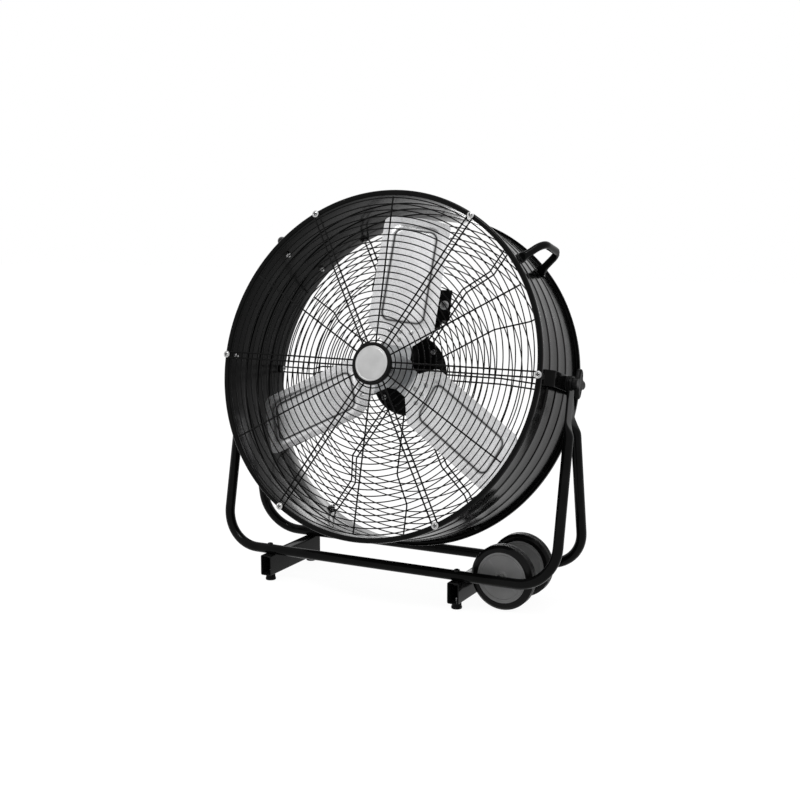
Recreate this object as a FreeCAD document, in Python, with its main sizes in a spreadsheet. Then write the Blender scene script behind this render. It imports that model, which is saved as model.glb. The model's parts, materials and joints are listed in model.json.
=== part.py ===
import FreeCAD, Part
import math
import os
import Sketcher

V = FreeCAD.Vector
X_AXIS = V(1, 0, 0)
Y_AXIS = V(0, 1, 0)
Z_AXIS = V(0, 0, 1)

doc = FreeCAD.newDocument("floor_fan")

# Driving dimensions, in millimetres and degrees.
# World frame: X to the right of the fan, Y to its back, Z up, ground at Z = 0.
# Drum frame: same axes, origin on the pivot line at the drum's centre, turned by the tilt.
SIZES = [
    ("pivot_height", 415.5), ("rest_tilt", 14.8), ("running_clearance", 0.04), ("loose_clearance", 0.3),
    ("drum_depth", 207), ("wall_radius", 313), ("sheet", 1.5), ("rim_radius", 323), ("rim_lip", 8),
    ("rim_round", 3), ("bead_height", 1.5), ("bead_width", 10), ("bead_pitch", 42),
    ("ring_wire", 2.2), ("spoke_wire", 3), ("ring_pitch", 11.5), ("hairpin_gap", 10.5),
    ("guard_screw_circle", 318), ("guard_head_radius", 6.5), ("front_ring_gap", 5),
    ("front_ring_count", 25), ("front_spoke_end", 30), ("spoke_pairs", 6),
    ("badge_radius", 39), ("badge_depth", 8), ("badge_disc_radius", 32.5), ("badge_disc_depth", 2),
    ("badge_clamp_radius", 36), ("badge_clamp_sheet", 1.5), ("badge_stud_radius", 4),
    ("rear_guard_inset", 5.5), ("recess_depth", 58), ("recess_radius", 191), ("step_radius", 246),
    ("rear_ring_inner", 74.5), ("rear_step_rings", 3), ("rear_ring_gap", 9), ("rear_spoke_end", 62),
    ("wire_bend", 12), ("wall_bend", 8),
    ("shell_bolt_inset", 17.5), ("shell_bolt_radius", 2.5), ("bolt_head_radius", 5.5), ("bolt_head", 3.5),
    ("nut_radius", 5.5), ("nut_height", 4),
    ("blade_count", 3), ("blade_angle", 86.8), ("blade_tip", 290), ("blade_root", 46), ("blade_chord", 127),
    ("root_chord", 48), ("blade_shoulder", 80), ("blade_sheet", 1.6), ("blade_camber", 390),
    ("blade_pitch_angle", 15.8), ("blade_corner", 16), ("panel_rise", 1), ("panel_width", 80),
    ("panel_start", 92), ("panel_end", 265), ("panel_corner", 14),
    ("arm_sheet", 2.5), ("arm_width", 54), ("arm_start", 20), ("arm_end", 84), ("hub_plane", -21.3),
    ("hub_radius", 34), ("hub_length", 28), ("rivet_radius", 2.5), ("rivet_head", 2),
    ("rivet_head_radius", 4.5), ("rivet_inner", 58.5), ("rivet_outer", 74), ("rivet_offset", 20.5),
    ("set_screw_radius", 3), ("hub_nut_length", 7), ("hub_nut_radius", 10),
    ("shaft_radius", 6), ("shaft_gap", 2), ("bearing_radius", 16), ("bearing_width", 10),
    ("bearing_boss_radius", 20), ("front_boss_length", 20), ("motor_radius", 56), ("motor_wall", 3),
    ("motor_length", 53), ("motor_split", 28), ("motor_flange_radius", 74), ("motor_flange", 4),
    ("stator_bore", 31), ("stator_start", 11), ("stator_length", 28), ("air_gap", 0.6),
    ("winding_bore", 35), ("winding_length", 6), ("winding_gap", 3),
    ("plate_radius", 78), ("plate_sheet", 3), ("motor_bolt_circle", 66), ("motor_bolt_count", 4),
    ("box_left", 4), ("box_right", 48), ("box_ear_end", 70), ("box_bottom", 108), ("box_top", 167),
    ("box_depth", 38), ("box_wall", 2), ("cover_sheet", 3), ("box_bolt_circle", 149.25),
    ("box_bolt_right_angle", 66.3), ("box_bolt_left_angle", 84.6), ("box_washer_radius", 9),
    ("box_washer", 1.5), ("cover_screw_inset", 6),
    ("cover_screw_radius", 1.5), ("cover_head_radius", 3), ("cover_head", 2),
    ("speed_knob_place", 27), ("speed_knob_radius", 16), ("speed_knob_height", 16), ("spindle_radius", 3),
    ("spindle_length", 12), ("switch_width", 26), ("switch_depth", 20), ("spindle_socket", 6),
    ("capacitor_radius", 7), ("capacitor_length", 36.4), ("capacitor_place", 36), ("capacitor_depth", 10),
    ("gland_radius", 9), ("gland_neck_radius", 6.75), ("gland_bore", 3.6), ("gland_length", 15),
    ("gland_place", 38), ("lead_radius", 3.5), ("lead_place", 20),
    ("handle_angle", 41.2), ("handle_radius", 7), ("handle_reach", 53), ("handle_grip", 78),
    ("handle_base", 108), ("handle_bend", 24), ("handle_pad", 4), ("handle_pad_width", 20),
    ("handle_bolt_span", 132), ("handle_pad_span", 146),
    ("bracket_sheet", 3), ("bracket_width", 28), ("bracket_standoff", 16), ("bracket_flat", 130),
    ("bracket_foot", 21), ("bracket_end_gap", 1.5), ("bracket_bend", 5),
    ("pivot_bolt_radius", 5), ("pivot_head_radius", 10), ("pivot_head", 6), ("pivot_thread", 10),
    ("washer_radius", 13), ("washer", 2),
    ("lug_sheet", 4), ("lug_width", 27), ("lug_margin", 2), ("lug_taper", 32),
    ("clamp_knob_radius", 27), ("clamp_lobe_radius", 7), ("clamp_knob_length", 9),
    ("clamp_lobes", 4), ("clamp_hub_radius", 15), ("clamp_flank_angle", 80), ("clamp_stem_radius", 11),
    ("clamp_stem", 5),
    ("tube_radius", 9.5), ("tube_wall", 1.5), ("upright_offset", 345), ("tube_bend", 72),
    ("beam_overhang", 17), ("beam_width", 23), ("beam_height", 40), ("beam_length", 188), ("beam_wall", 2),
    ("left_beam", -242.5), ("right_beam", 157.5), ("frame_bolt_radius", 4), ("frame_head_radius", 5.5),
    ("frame_head", 3), ("frame_nut_radius", 7.5), ("frame_nut", 6), ("foot_height", 12),
    ("foot_radius", 10), ("foot_top_radius", 9), ("foot_screw_radius", 2.5), ("foot_screw_sink", 5),
    ("foot_screw_grip", 6),
    ("wheel_place", 236), ("wheel_radius", 60), ("wheel_width", 24), ("wheel_inset", 32),
    ("tyre_round", 4), ("disc_radius", 47), ("disc_width", 22), ("disc_groove_radius", 40),
    ("disc_groove", 1.2), ("wheel_hub_radius", 12), ("axle_radius", 5),
    ("axle_sink", 4), ("spacer_radius", 8),
]

sizes = doc.addObject("Spreadsheet::Sheet", "Sizes")
for row, (alias, value) in enumerate(SIZES, start=1):
    sizes.set(f"A{row}", alias)
    sizes.set(f"B{row}", str(value))
    sizes.setAlias(f"B{row}", alias)
doc.recompute()

parts = []

# Places along the fan's axis that several pieces share, as expressions of the sheet.
FRONT_FACE = "(-Sizes.drum_depth / 2)"
FRONT_SPOKES = f"({FRONT_FACE} - Sizes.spoke_wire / 2)"
GUARD_FRONT = f"({FRONT_FACE} - Sizes.spoke_wire)"
WIRE_LIFT = "((Sizes.ring_wire + Sizes.spoke_wire) / 2)"
FRONT_RINGS = f"({FRONT_SPOKES} + {WIRE_LIFT})"
FRONT_RING_OUTER = "(Sizes.wall_radius - Sizes.front_ring_gap)"
REAR_RING_OUTER = "(Sizes.wall_radius - Sizes.rear_ring_gap)"
REAR_RINGS = "(Sizes.drum_depth / 2 - Sizes.rear_guard_inset)"
RECESS_RINGS = f"({REAR_RINGS} - Sizes.recess_depth)"
PLATE_FRONT = f"({RECESS_RINGS} + {WIRE_LIFT} + Sizes.spoke_wire / 2)"
MOTOR_FACE = f"({PLATE_FRONT} + Sizes.plate_sheet)"
BOX_BACK = f"({PLATE_FRONT} + Sizes.box_depth)"
COVER_BACK = f"({BOX_BACK} + Sizes.cover_sheet)"
SHELL_OUTSIDE = "(Sizes.wall_radius + Sizes.sheet)"
BRACKET_OUTSIDE = f"({SHELL_OUTSIDE} + Sizes.bracket_standoff + Sizes.bracket_sheet)"
BEAM_TOP = "(Sizes.foot_height + Sizes.beam_height)"
TUBE_HEIGHT = f"({BEAM_TOP} + Sizes.tube_radius)"
TUBE_STANCE = "(Sizes.beam_length / 2 - Sizes.beam_overhang)"
WHEEL_OFFSET = f"({TUBE_STANCE} - Sizes.wheel_inset)"
AXLE_END = f"({TUBE_STANCE} + Sizes.axle_sink)"

# The pivot brackets sit at both ends of the tilt axis, and two bolts hold the control box.
BRACKET_ANGLES = (0, 180)
BOX_BOLT_ANGLES = ("box_bolt_right_angle", "box_bolt_left_angle")


def size(expression):
    """Value of an expression of sheet cells, each written with its Sizes. prefix."""
    return float(sizes.evalExpression(expression))


def cell(alias):
    return float(sizes.get(alias))


def count(alias):
    return int(round(cell(alias)))


def register(part, label):
    part.Label = label
    parts.append(part)
    return part


def place_on_drum(part):
    """Ties a drum piece to the pivot line and the tilt at rest, front end up."""
    part.Placement = FreeCAD.Placement(V(0, 0, 0), FreeCAD.Rotation(V(-1, 0, 0), cell("rest_tilt")))
    part.setExpression(".Placement.Rotation.Angle", "Sizes.rest_tilt")
    part.setExpression(".Placement.Base.z", "Sizes.pivot_height")
    return part


# Sketched bodies: every corner of a profile is held by dimensions bound to the sheet.
def sketch_profile(body, corners):
    plane = [feature for feature in body.Origin.OriginFeatures if feature.Role == "XY_Plane"][0]
    sketch = body.newObject("Sketcher::SketchObject", body.Name + "Profile")
    sketch.AttachmentSupport = (plane, [""])
    sketch.MapMode = "FlatFace"
    places = [V(size(across), size(along), 0) for across, along in corners]
    for index, place in enumerate(places):
        sketch.addGeometry(Part.LineSegment(place, places[(index + 1) % len(places)]), False)
    for index in range(len(places)):
        sketch.addConstraint(Sketcher.Constraint("Coincident", index, 2, (index + 1) % len(places), 1))
    for index, (corner, place) in enumerate(zip(corners, places)):
        rules = (("DistanceX", corner[0], place.x, -2), ("DistanceY", corner[1], place.y, -1))
        for kind, expression, start, axis in rules:
            if expression == "0":
                sketch.addConstraint(Sketcher.Constraint("PointOnObject", index, 1, axis))
            else:
                number = sketch.addConstraint(Sketcher.Constraint(kind, -1, 1, index, 1, start))
                sketch.setExpression(f"Constraints[{number}]", expression)
    return sketch


def turned_body(label, corners):
    """Body turned about the Y axis from corners given as radius and place along Y."""
    body = doc.addObject("PartDesign::Body", label)
    sketch = sketch_profile(body, corners)
    turn = body.newObject("PartDesign::Revolution", label + "Turn")
    turn.Profile = sketch
    turn.ReferenceAxis = (sketch, ["V_Axis"])
    turn.Angle = 360
    return register(body, label)


def ring_body(label, inner, outer, start, end):
    return turned_body(label, [(inner, start), (outer, start), (outer, end), (inner, end)])


def drilled(body, tools):
    """Replaces a finished body by the same body with holes cut through it."""
    label = body.Label
    parts.remove(body)
    body.Label = label + "_blank"
    drill = doc.addObject("Part::Feature", label + "Drill")
    drill.Shape = Part.makeCompound(tools)
    cut = doc.addObject("Part::Cut", label + "Cut")
    cut.Base = body
    cut.Tool = drill
    return register(cut, label)


def box_feature(name, low, high):
    """Part::Box between two corners given as expressions."""
    box = doc.addObject("Part::Box", name)
    for side, axis, start, end in zip(("Length", "Width", "Height"), "xyz", low, high):
        box.setExpression(side, f"{end} - ({start})")
        box.setExpression(f".Placement.Base.{axis}", start)
    return box


def cut_feature(name, base, tools):
    """Boxes and cylinders cut from a base, one Part::Cut after the other."""
    solid = base
    for index, tool in enumerate(tools):
        cut = doc.addObject("Part::Cut", f"{name}Cut{index}")
        cut.Base = solid
        cut.Tool = tool
        solid = cut
    return solid


def free_part(label, solids):
    """Sub-part whose shape comes from Part functions: bent wire, sheet forms and fastener groups."""
    part = doc.addObject("Part::Feature", label)
    part.Shape = Part.makeCompound(solids)
    return register(part, label)


# Shape helpers.
def polar(radius, angle, y=0.0, side=0.0):
    """Point in the drum frame at a radius and an angle about the fan's axis, side along the tangent."""
    turn = math.radians(angle)
    x = radius * math.cos(turn) - side * math.sin(turn)
    z = radius * math.sin(turn) + side * math.cos(turn)
    return V(x, y, z)


def rounded_path(points, bends, closed=False):
    """Straight runs through the points with a tangent arc of each bend radius (0 leaves a corner)."""
    total = len(points)
    corners = range(total) if closed else range(1, total - 1)
    entry = list(points)
    leave = list(points)
    arcs = {}
    for index in corners:
        corner = points[index]
        bend = bends[index] if closed else bends[index - 1]
        if bend <= 0:
            continue
        into = (corner - points[index - 1]).normalize()
        out = (points[(index + 1) % total] - corner).normalize()
        turn = into.getAngle(out)
        reach = bend * math.tan(turn / 2)
        inward = (out - into).normalize()
        centre = corner + inward * (bend / math.cos(turn / 2))
        entry[index] = corner - into * reach
        leave[index] = corner + out * reach
        arcs[index] = Part.Arc(entry[index], centre - inward * bend, leave[index]).toShape()
    edges = []
    for index in range(total):
        if index in arcs:
            edges.append(arcs[index])
        if index + 1 < total or closed:
            edges.append(Part.LineSegment(leave[index], entry[(index + 1) % total]).toShape())
    return edges


def outline_face(points, bends):
    return Part.Face(Part.Wire(rounded_path(points, bends, closed=True)))


def rod(edges, radius):
    """Round wire of a radius along connected edges."""
    start = edges[0].valueAt(edges[0].FirstParameter)
    along = edges[0].tangentAt(edges[0].FirstParameter)
    section = Part.Face(Part.Wire(Part.makeCircle(radius, start, along)))
    return Part.Wire(edges).makePipe(section)


def cylinder(radius, length, start, along):
    return Part.makeCylinder(radius, length, start, along)


def bolt(seat, along, shank, length, head_radius, head):
    """Round-headed bolt: its head sits on the seat point and its shank runs along the direction."""
    crown_radius = head_radius / 2
    cap = Part.makeCone(head_radius, crown_radius, head / 2, seat - along * (head / 2), along * -1)
    base = cylinder(head_radius, head / 2, seat - along * (head / 2), along)
    return cap.fuse(base).fuse(cylinder(shank, length, seat, along)).removeSplitter()


def hex_nut(seat, along, radius, height, bore):
    """Hexagon nut standing on the seat point, with its bore along the direction."""
    turned = FreeCAD.Rotation(Z_AXIS, along)
    corners = []
    for index in range(6):
        turn = math.radians(60 * index)
        corners.append(seat + turned.multVec(V(radius * math.cos(turn), radius * math.sin(turn), 0)))
    block = Part.Face(Part.makePolygon(corners + corners[:1])).extrude(along * height)
    return block.cut(cylinder(bore, 3 * height, seat - along * height, along))


# Places of the bolts through the drum's wall, as angle and place along the axis.
def wall_bolt_y():
    return cell("drum_depth") / 2 - cell("shell_bolt_inset")


def rear_screw_places():
    return [(angle, wall_bolt_y()) for angle in spoke_angles()[0] if angle not in BRACKET_ANGLES]


def bracket_bolt_places():
    return [(angle, side * wall_bolt_y()) for angle in BRACKET_ANGLES for side in (-1, 1)]


def handle_angles():
    return (cell("handle_angle"), 180 - cell("handle_angle"))


def handle_bolt_places():
    half = cell("handle_bolt_span") / 2
    return [(angle, side * half) for angle in handle_angles() for side in (-1, 1)]


def wall_holes():
    """Drills for the bolts through the wall and for the guard screws through the front flange."""
    reach = cell("rim_radius") - cell("wall_radius") + cell("bracket_standoff")
    radius = cell("shell_bolt_radius") + cell("running_clearance")
    drills = []
    for angle, y in rear_screw_places() + bracket_bolt_places() + handle_bolt_places():
        start = polar(cell("wall_radius") - reach, angle, y)
        drills.append(cylinder(radius, 2 * reach, start, polar(1, angle)))
    for index in range(count("spoke_pairs")):
        start = polar(cell("guard_screw_circle"), 360 / cell("spoke_pairs") * index, size(GUARD_FRONT))
        drills.append(cylinder(radius, 2 * cell("rim_lip"), start, Y_AXIS))
    return drills


# Drum shell: rolled sheet with outward flanges, returned lips and three swaged beads.
def make_drum_shell():
    half = cell("drum_depth") / 2
    wall = cell("wall_radius")
    rim = cell("rim_radius")
    gauge = cell("sheet")
    lip = cell("rim_lip")
    spread = cell("bead_width") / 2
    inside = []
    for index in (-1, 0, 1):
        middle = index * cell("bead_pitch")
        rise = cell("bead_height")
        inside += [(0, middle - spread), (rise, middle - spread / 2), (rise, middle + spread / 2)]
        inside += [(0, middle + spread)]
    inner = [(wall + rise, y) for rise, y in inside]
    outer = [(radius + gauge, y) for radius, y in reversed(inner)]
    back_rim = [(wall, half), (rim, half), (rim, half - lip), (rim - gauge, half - lip)]
    back_rim += [(rim - gauge, half - gauge), (wall + gauge, half - gauge)]
    front_rim = [(radius, -y) for radius, y in reversed(back_rim)]
    loop = inner + back_rim + outer + front_rim
    big = cell("rim_round")
    small = big - gauge
    rim_bends = [big, big, 0, 0, small, small]
    bends = [gauge] * len(inner) + rim_bends + [gauge] * len(outer) + rim_bends[::-1]
    shell = outline_face([V(radius, y, 0) for radius, y in loop], bends).revolve(V(0, 0, 0), Y_AXIS, 360)
    place_on_drum(free_part("drum_shell", [shell.cut(wall_holes())]))


# Wire guards: concentric rings on doubled hairpin spokes and single spokes.
def spoke_angles():
    step = 360 / cell("spoke_pairs")
    pairs = [step * index for index in range(count("spoke_pairs"))]
    return pairs, [angle + step / 2 for angle in pairs]


def ring(radius, y):
    return Part.makeTorus(radius, cell("ring_wire") / 2, V(0, y, 0), Y_AXIS)


def front_hairpin(angle):
    """Flat hairpin whose closed end goes round the guard screw."""
    y = size(FRONT_SPOKES)
    half = cell("hairpin_gap") / 2
    end = cell("guard_screw_circle") - cell("sheet") / 2
    start = cell("front_spoke_end")
    first = Part.LineSegment(polar(start, angle, y, half), polar(end, angle, y, half)).toShape()
    bow = Part.Arc(polar(end, angle, y, half), polar(end + half, angle, y), polar(end, angle, y, -half))
    last = Part.LineSegment(polar(end, angle, y, -half), polar(start, angle, y, -half)).toShape()
    return rod([first, bow.toShape(), last], cell("spoke_wire") / 2)


def make_front_guard():
    pairs, singles = spoke_angles()
    wires = [front_hairpin(angle) for angle in pairs]
    length = size(FRONT_RING_OUTER) + cell("ring_wire") / 2 - cell("front_spoke_end")
    for angle in singles:
        start = polar(cell("front_spoke_end"), angle, size(FRONT_SPOKES))
        wires.append(cylinder(cell("spoke_wire") / 2, length, start, polar(1, angle)))
    for index in range(count("front_ring_count")):
        wires.append(ring(size(FRONT_RING_OUTER) - index * cell("ring_pitch"), size(FRONT_RINGS)))
    place_on_drum(free_part("front_guard", wires))


def rear_profile():
    """Centre line of a rear spoke as radius and y, from the recess out to the rim plane."""
    lift = size(WIRE_LIFT)
    low = size(RECESS_RINGS) + lift
    high = size(REAR_RINGS) + lift
    return [
        (cell("rear_spoke_end"), low), (cell("recess_radius"), low), (cell("step_radius"), high),
    ]


def rear_single(angle):
    high = size(REAR_RINGS) + size(WIRE_LIFT)
    outline = rear_profile() + [(size(REAR_RING_OUTER) + cell("ring_wire") / 2, high)]
    points = [polar(radius, angle, y) for radius, y in outline]
    return rod(rounded_path(points, [cell("wire_bend")] * 2), cell("spoke_wire") / 2)


def rear_hairpin(angle):
    """Hairpin that turns forward along the inside of the wall and loops round its screw."""
    half = cell("hairpin_gap") / 2
    high = size(REAR_RINGS) + size(WIRE_LIFT)
    against_wall = cell("wall_radius") - cell("spoke_wire") / 2 - cell("loose_clearance")
    loop_y = wall_bolt_y() - half + cell("shell_bolt_radius") / 2
    outline = rear_profile() + [(against_wall, high), (against_wall, loop_y)]
    bends = [cell("wire_bend"), cell("wire_bend"), cell("wall_bend")]
    out_leg = rounded_path([polar(radius, angle, y, half) for radius, y in outline], bends)
    back = [polar(radius, angle, y, -half) for radius, y in reversed(outline)]
    back_leg = rounded_path(back, bends[::-1])
    bow = Part.Arc(
        polar(against_wall, angle, loop_y, half), polar(against_wall, angle, loop_y - half),
        polar(against_wall, angle, loop_y, -half),
    )
    return rod(out_leg + [bow.toShape()] + back_leg, cell("spoke_wire") / 2)


def rings_between(inner, outer):
    """How many rings fit on a flat zone of the guard, clear of its bend at the step."""
    room = outer - inner - cell("wire_bend") + cell("ring_wire")
    return int(room / cell("ring_pitch")) + 1


def rear_ring_places():
    """Radius and y of every rear ring: recess, sloping step and rim zone."""
    low = size(RECESS_RINGS)
    high = size(REAR_RINGS)
    places = []
    for index in range(rings_between(cell("rear_ring_inner"), cell("recess_radius"))):
        places.append((cell("rear_ring_inner") + index * cell("ring_pitch"), low))
    run = cell("step_radius") - cell("recess_radius")
    rise = cell("recess_depth")
    slope = math.hypot(run, rise)
    lift = size(WIRE_LIFT)
    for index in range(count("rear_step_rings")):
        share = (index + 1) / (cell("rear_step_rings") + 1)
        radius = cell("recess_radius") + share * run + lift * rise / slope
        places.append((radius, low + lift + share * rise - lift * run / slope))
    for index in range(rings_between(cell("step_radius"), size(REAR_RING_OUTER))):
        places.append((size(REAR_RING_OUTER) - index * cell("ring_pitch"), high))
    return places


def make_rear_guard():
    pairs, singles = spoke_angles()
    wires = [rear_hairpin(angle) for angle in pairs]
    wires += [rear_single(angle) for angle in singles]
    wires += [ring(radius, y) for radius, y in rear_ring_places()]
    place_on_drum(free_part("rear_guard", wires))


def make_badge():
    cup_front = f"({GUARD_FRONT} - Sizes.badge_depth)"
    seat = f"({cup_front} + Sizes.badge_disc_depth)"
    cup = [("0", GUARD_FRONT), ("Sizes.badge_radius", GUARD_FRONT), ("Sizes.badge_radius", cup_front)]
    bore = "Sizes.badge_disc_radius + Sizes.running_clearance"
    cup += [(bore, cup_front), (bore, seat), ("0", seat)]
    place_on_drum(turned_body("badge_cup", cup))
    place_on_drum(ring_body("badge_disc", "0", "Sizes.badge_disc_radius", cup_front, seat))
    clamp_front = f"({FRONT_RINGS} + Sizes.ring_wire / 2)"
    clamp_back = f"({clamp_front} + Sizes.badge_clamp_sheet)"
    clamp = [("0", GUARD_FRONT), ("Sizes.badge_stud_radius", GUARD_FRONT)]
    clamp += [("Sizes.badge_stud_radius", clamp_front), ("Sizes.badge_clamp_radius", clamp_front)]
    clamp += [("Sizes.badge_clamp_radius", clamp_back), ("0", clamp_back)]
    place_on_drum(turned_body("badge_clamp", clamp))


# Fasteners through the drum.
def make_guard_screws():
    screws = []
    length = size(f"{FRONT_FACE} - {GUARD_FRONT}") + cell("rim_lip")
    for angle in spoke_angles()[0]:
        seat = polar(cell("guard_screw_circle"), angle, size(GUARD_FRONT))
        screws.append(bolt(
            seat, Y_AXIS, cell("shell_bolt_radius"), length, cell("guard_head_radius"), cell("bolt_head"),
        ))
    place_on_drum(free_part("front_guard_screws", screws))


def wall_bolt(angle, y, seat_radius, end_radius):
    """Bolt pointing at the fan's axis, from its seat outside to its end inside the drum."""
    return bolt(
        polar(seat_radius, angle, y), polar(-1, angle), cell("shell_bolt_radius"),
        seat_radius - end_radius, cell("bolt_head_radius"), cell("bolt_head"),
    )


def wall_nut(angle, y, seat_radius):
    return hex_nut(
        polar(seat_radius, angle, y), polar(-1, angle), cell("nut_radius"), cell("nut_height"),
        cell("shell_bolt_radius"),
    )


def make_wall_fasteners():
    gap = cell("loose_clearance")
    outside = size(SHELL_OUTSIDE)
    bare_seat = cell("wall_radius") - gap / 2
    wire_seat = cell("wall_radius") - cell("spoke_wire") - gap
    bolt_end = wire_seat - cell("nut_height") - gap
    pad_top = outside + gap + cell("handle_pad")
    foot_top = outside + gap + cell("bracket_sheet")
    rear = [wall_bolt(angle, y, outside, bolt_end) for angle, y in rear_screw_places()]
    handle = [wall_bolt(angle, y, pad_top, bolt_end) for angle, y in handle_bolt_places()]
    bracket = [wall_bolt(angle, y, foot_top, bolt_end) for angle, y in bracket_bolt_places()]
    nuts = [wall_nut(angle, y, wire_seat) for angle, y in rear_screw_places()]
    nuts += [wall_nut(angle, y, bare_seat) for angle, y in handle_bolt_places()]
    nuts += [wall_nut(angle, y, wire_seat if y > 0 else bare_seat) for angle, y in bracket_bolt_places()]
    place_on_drum(free_part("rear_guard_screws", rear))
    place_on_drum(free_part("handle_bolts", handle))
    place_on_drum(free_part("bracket_bolts", bracket))
    place_on_drum(free_part("wall_nuts", nuts))


# Carrying handles: bent tube with flattened, bolted feet.
def make_handle(label, angle):
    foot = size(SHELL_OUTSIDE) + cell("loose_clearance")
    top = size(SHELL_OUTSIDE) + cell("handle_reach")
    start = foot + cell("handle_pad") - cell("loose_clearance")
    base = cell("handle_base") / 2
    grip = cell("handle_grip") / 2
    outline = [(-base, start), (-grip, top), (grip, top), (base, start)]
    points = [polar(radius, angle, y) for y, radius in outline]
    solid = rod(rounded_path(points, [cell("handle_bend")] * 2), cell("handle_radius"))
    inner_end = cell("bead_pitch") + cell("bead_width") / 2 + cell("sheet")
    outer_end = cell("handle_pad_span") / 2
    half = cell("handle_pad_width") / 2
    for side in (-1, 1):
        corners = [(inner_end, -half), (inner_end, half), (outer_end, half), (outer_end, -half)]
        points = [polar(foot, angle, side * y, across) for y, across in corners]
        pad = outline_face(points, [0, 0, half / 2, half / 2]).extrude(polar(cell("handle_pad"), angle))
        solid = solid.fuse(pad)
    holes = []
    for place, y in handle_bolt_places():
        if place == angle:
            radius = cell("shell_bolt_radius") + cell("running_clearance")
            start = polar(cell("wall_radius"), angle, y)
            holes.append(cylinder(radius, cell("handle_reach"), start, polar(1, angle)))
    place_on_drum(free_part(label, [solid.cut(holes).removeSplitter()]))


# Pivot brackets: hat-shaped straps bridging the drum from rim to rim.
def make_bracket(label, side):
    low = size(SHELL_OUTSIDE) + cell("loose_clearance")
    high = size(SHELL_OUTSIDE) + cell("bracket_standoff")
    gauge = cell("bracket_sheet")
    tip = cell("drum_depth") / 2 - cell("rim_lip") - cell("bracket_end_gap")
    heel = tip - cell("bracket_foot")
    flat = cell("bracket_flat") / 2
    under = [(low, -tip), (low, -heel), (high, -flat), (high, flat), (low, heel), (low, tip)]
    slope = math.atan2(high - low, heel - flat)
    shift = gauge * math.tan(slope / 2)
    over = [(low, tip), (low, heel + shift), (high, flat + shift)]
    over = [(x + gauge, y) for x, y in over + [(x, -y) for x, y in reversed(over)]]
    bend = cell("bracket_bend")
    bends = [0, bend, bend, bend, bend, 0, 0, bend, bend, bend, bend, 0]
    half = cell("bracket_width") / 2
    strap = outline_face([V(side * x, y, -half) for x, y in under + over], bends)
    strap = strap.extrude(V(0, 0, 2 * half))
    pivot_bore = cell("pivot_bolt_radius") + cell("running_clearance")
    holes = [cylinder(pivot_bore, 4 * gauge, V(side * (high - gauge), 0, 0), X_AXIS * side)]
    for angle, y in bracket_bolt_places():
        if polar(1, angle).x * side > 0:
            radius = cell("shell_bolt_radius") + cell("running_clearance")
            holes.append(cylinder(radius, 4 * gauge, V(side * (low - gauge), y, 0), X_AXIS * side))
    place_on_drum(free_part(label, [strap.cut(holes)]))


# Pivot: bolt, washers and lobed clamp knob on each side.
def pivot_stack():
    """Where each piece of the pivot stack starts along X, from the bracket's face outward."""
    starts = {"inner_washer": size(BRACKET_OUTSIDE)}
    starts["inner_lug"] = starts["inner_washer"] + cell("washer")
    starts["outer_lug"] = starts["inner_lug"] + cell("lug_sheet")
    starts["outer_washer"] = starts["outer_lug"] + cell("lug_sheet")
    starts["knob"] = starts["outer_washer"] + cell("washer")
    return starts


def make_pivot(name, side):
    seat = pivot_stack()["knob"]
    along = X_AXIS * side
    under_head = size(BRACKET_OUTSIDE) - cell("bracket_sheet")
    head_start = V(side * (under_head - cell("pivot_head")), 0, 0)
    head = cylinder(cell("pivot_head_radius"), cell("pivot_head"), head_start, along)
    length = seat + cell("pivot_thread") - under_head
    shank = cylinder(cell("pivot_bolt_radius"), length, V(side * under_head, 0, 0), along)
    place_on_drum(free_part(f"{name}_pivot_bolt", [head.fuse(shank).removeSplitter()]))
    place_on_drum(free_part(f"{name}_clamp_knob", [clamp_knob(seat, side)]))


def lobed_outline(x):
    """Closed outline of round lobes joined by valleys that dip to the hub, in the plane at x."""
    lobe = cell("clamp_lobe_radius")
    reach = cell("clamp_knob_radius") - lobe
    step = 2 * math.pi / cell("clamp_lobes")
    flank = math.radians(cell("clamp_flank_angle"))

    def on_lobe(turn, lean):
        y = reach * math.cos(turn) + lobe * math.cos(turn + lean)
        return V(x, y, reach * math.sin(turn) + lobe * math.sin(turn + lean))

    edges = []
    for index in range(count("clamp_lobes")):
        turn = step * index
        valley = turn + step / 2
        dip = V(x, cell("clamp_hub_radius") * math.cos(valley), cell("clamp_hub_radius") * math.sin(valley))
        edges.append(Part.Arc(on_lobe(turn, -flank), on_lobe(turn, 0), on_lobe(turn, flank)).toShape())
        edges.append(Part.Arc(on_lobe(turn, flank), dip, on_lobe(turn + step, -flank)).toShape())
    return Part.Face(Part.Wire(edges))


def clamp_knob(seat, side):
    """Stem on the washer, then a lobed head, bored for the bolt's thread."""
    along = X_AXIS * side
    stem = cylinder(cell("clamp_stem_radius"), cell("clamp_stem"), V(side * seat, 0, 0), along)
    head = lobed_outline(side * (seat + cell("clamp_stem"))).extrude(along * cell("clamp_knob_length"))
    bore = cell("pivot_bolt_radius") + cell("running_clearance")
    depth = cell("pivot_thread") + cell("washer")
    return stem.fuse(head).cut(cylinder(bore, depth, V(side * seat, 0, 0), along))


def make_pivot_washers():
    stack = pivot_stack()
    bore = cell("pivot_bolt_radius") + cell("running_clearance")
    rings = []
    for side in (-1, 1):
        for place in ("inner_washer", "outer_washer"):
            start = V(side * stack[place], 0, 0)
            disc = cylinder(cell("washer_radius"), cell("washer"), start, X_AXIS * side)
            rings.append(disc.cut(cylinder(bore, cell("washer"), start, X_AXIS * side)))
    part = free_part("pivot_washers", rings)
    part.setExpression(".Placement.Base.z", "Sizes.pivot_height")


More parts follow.
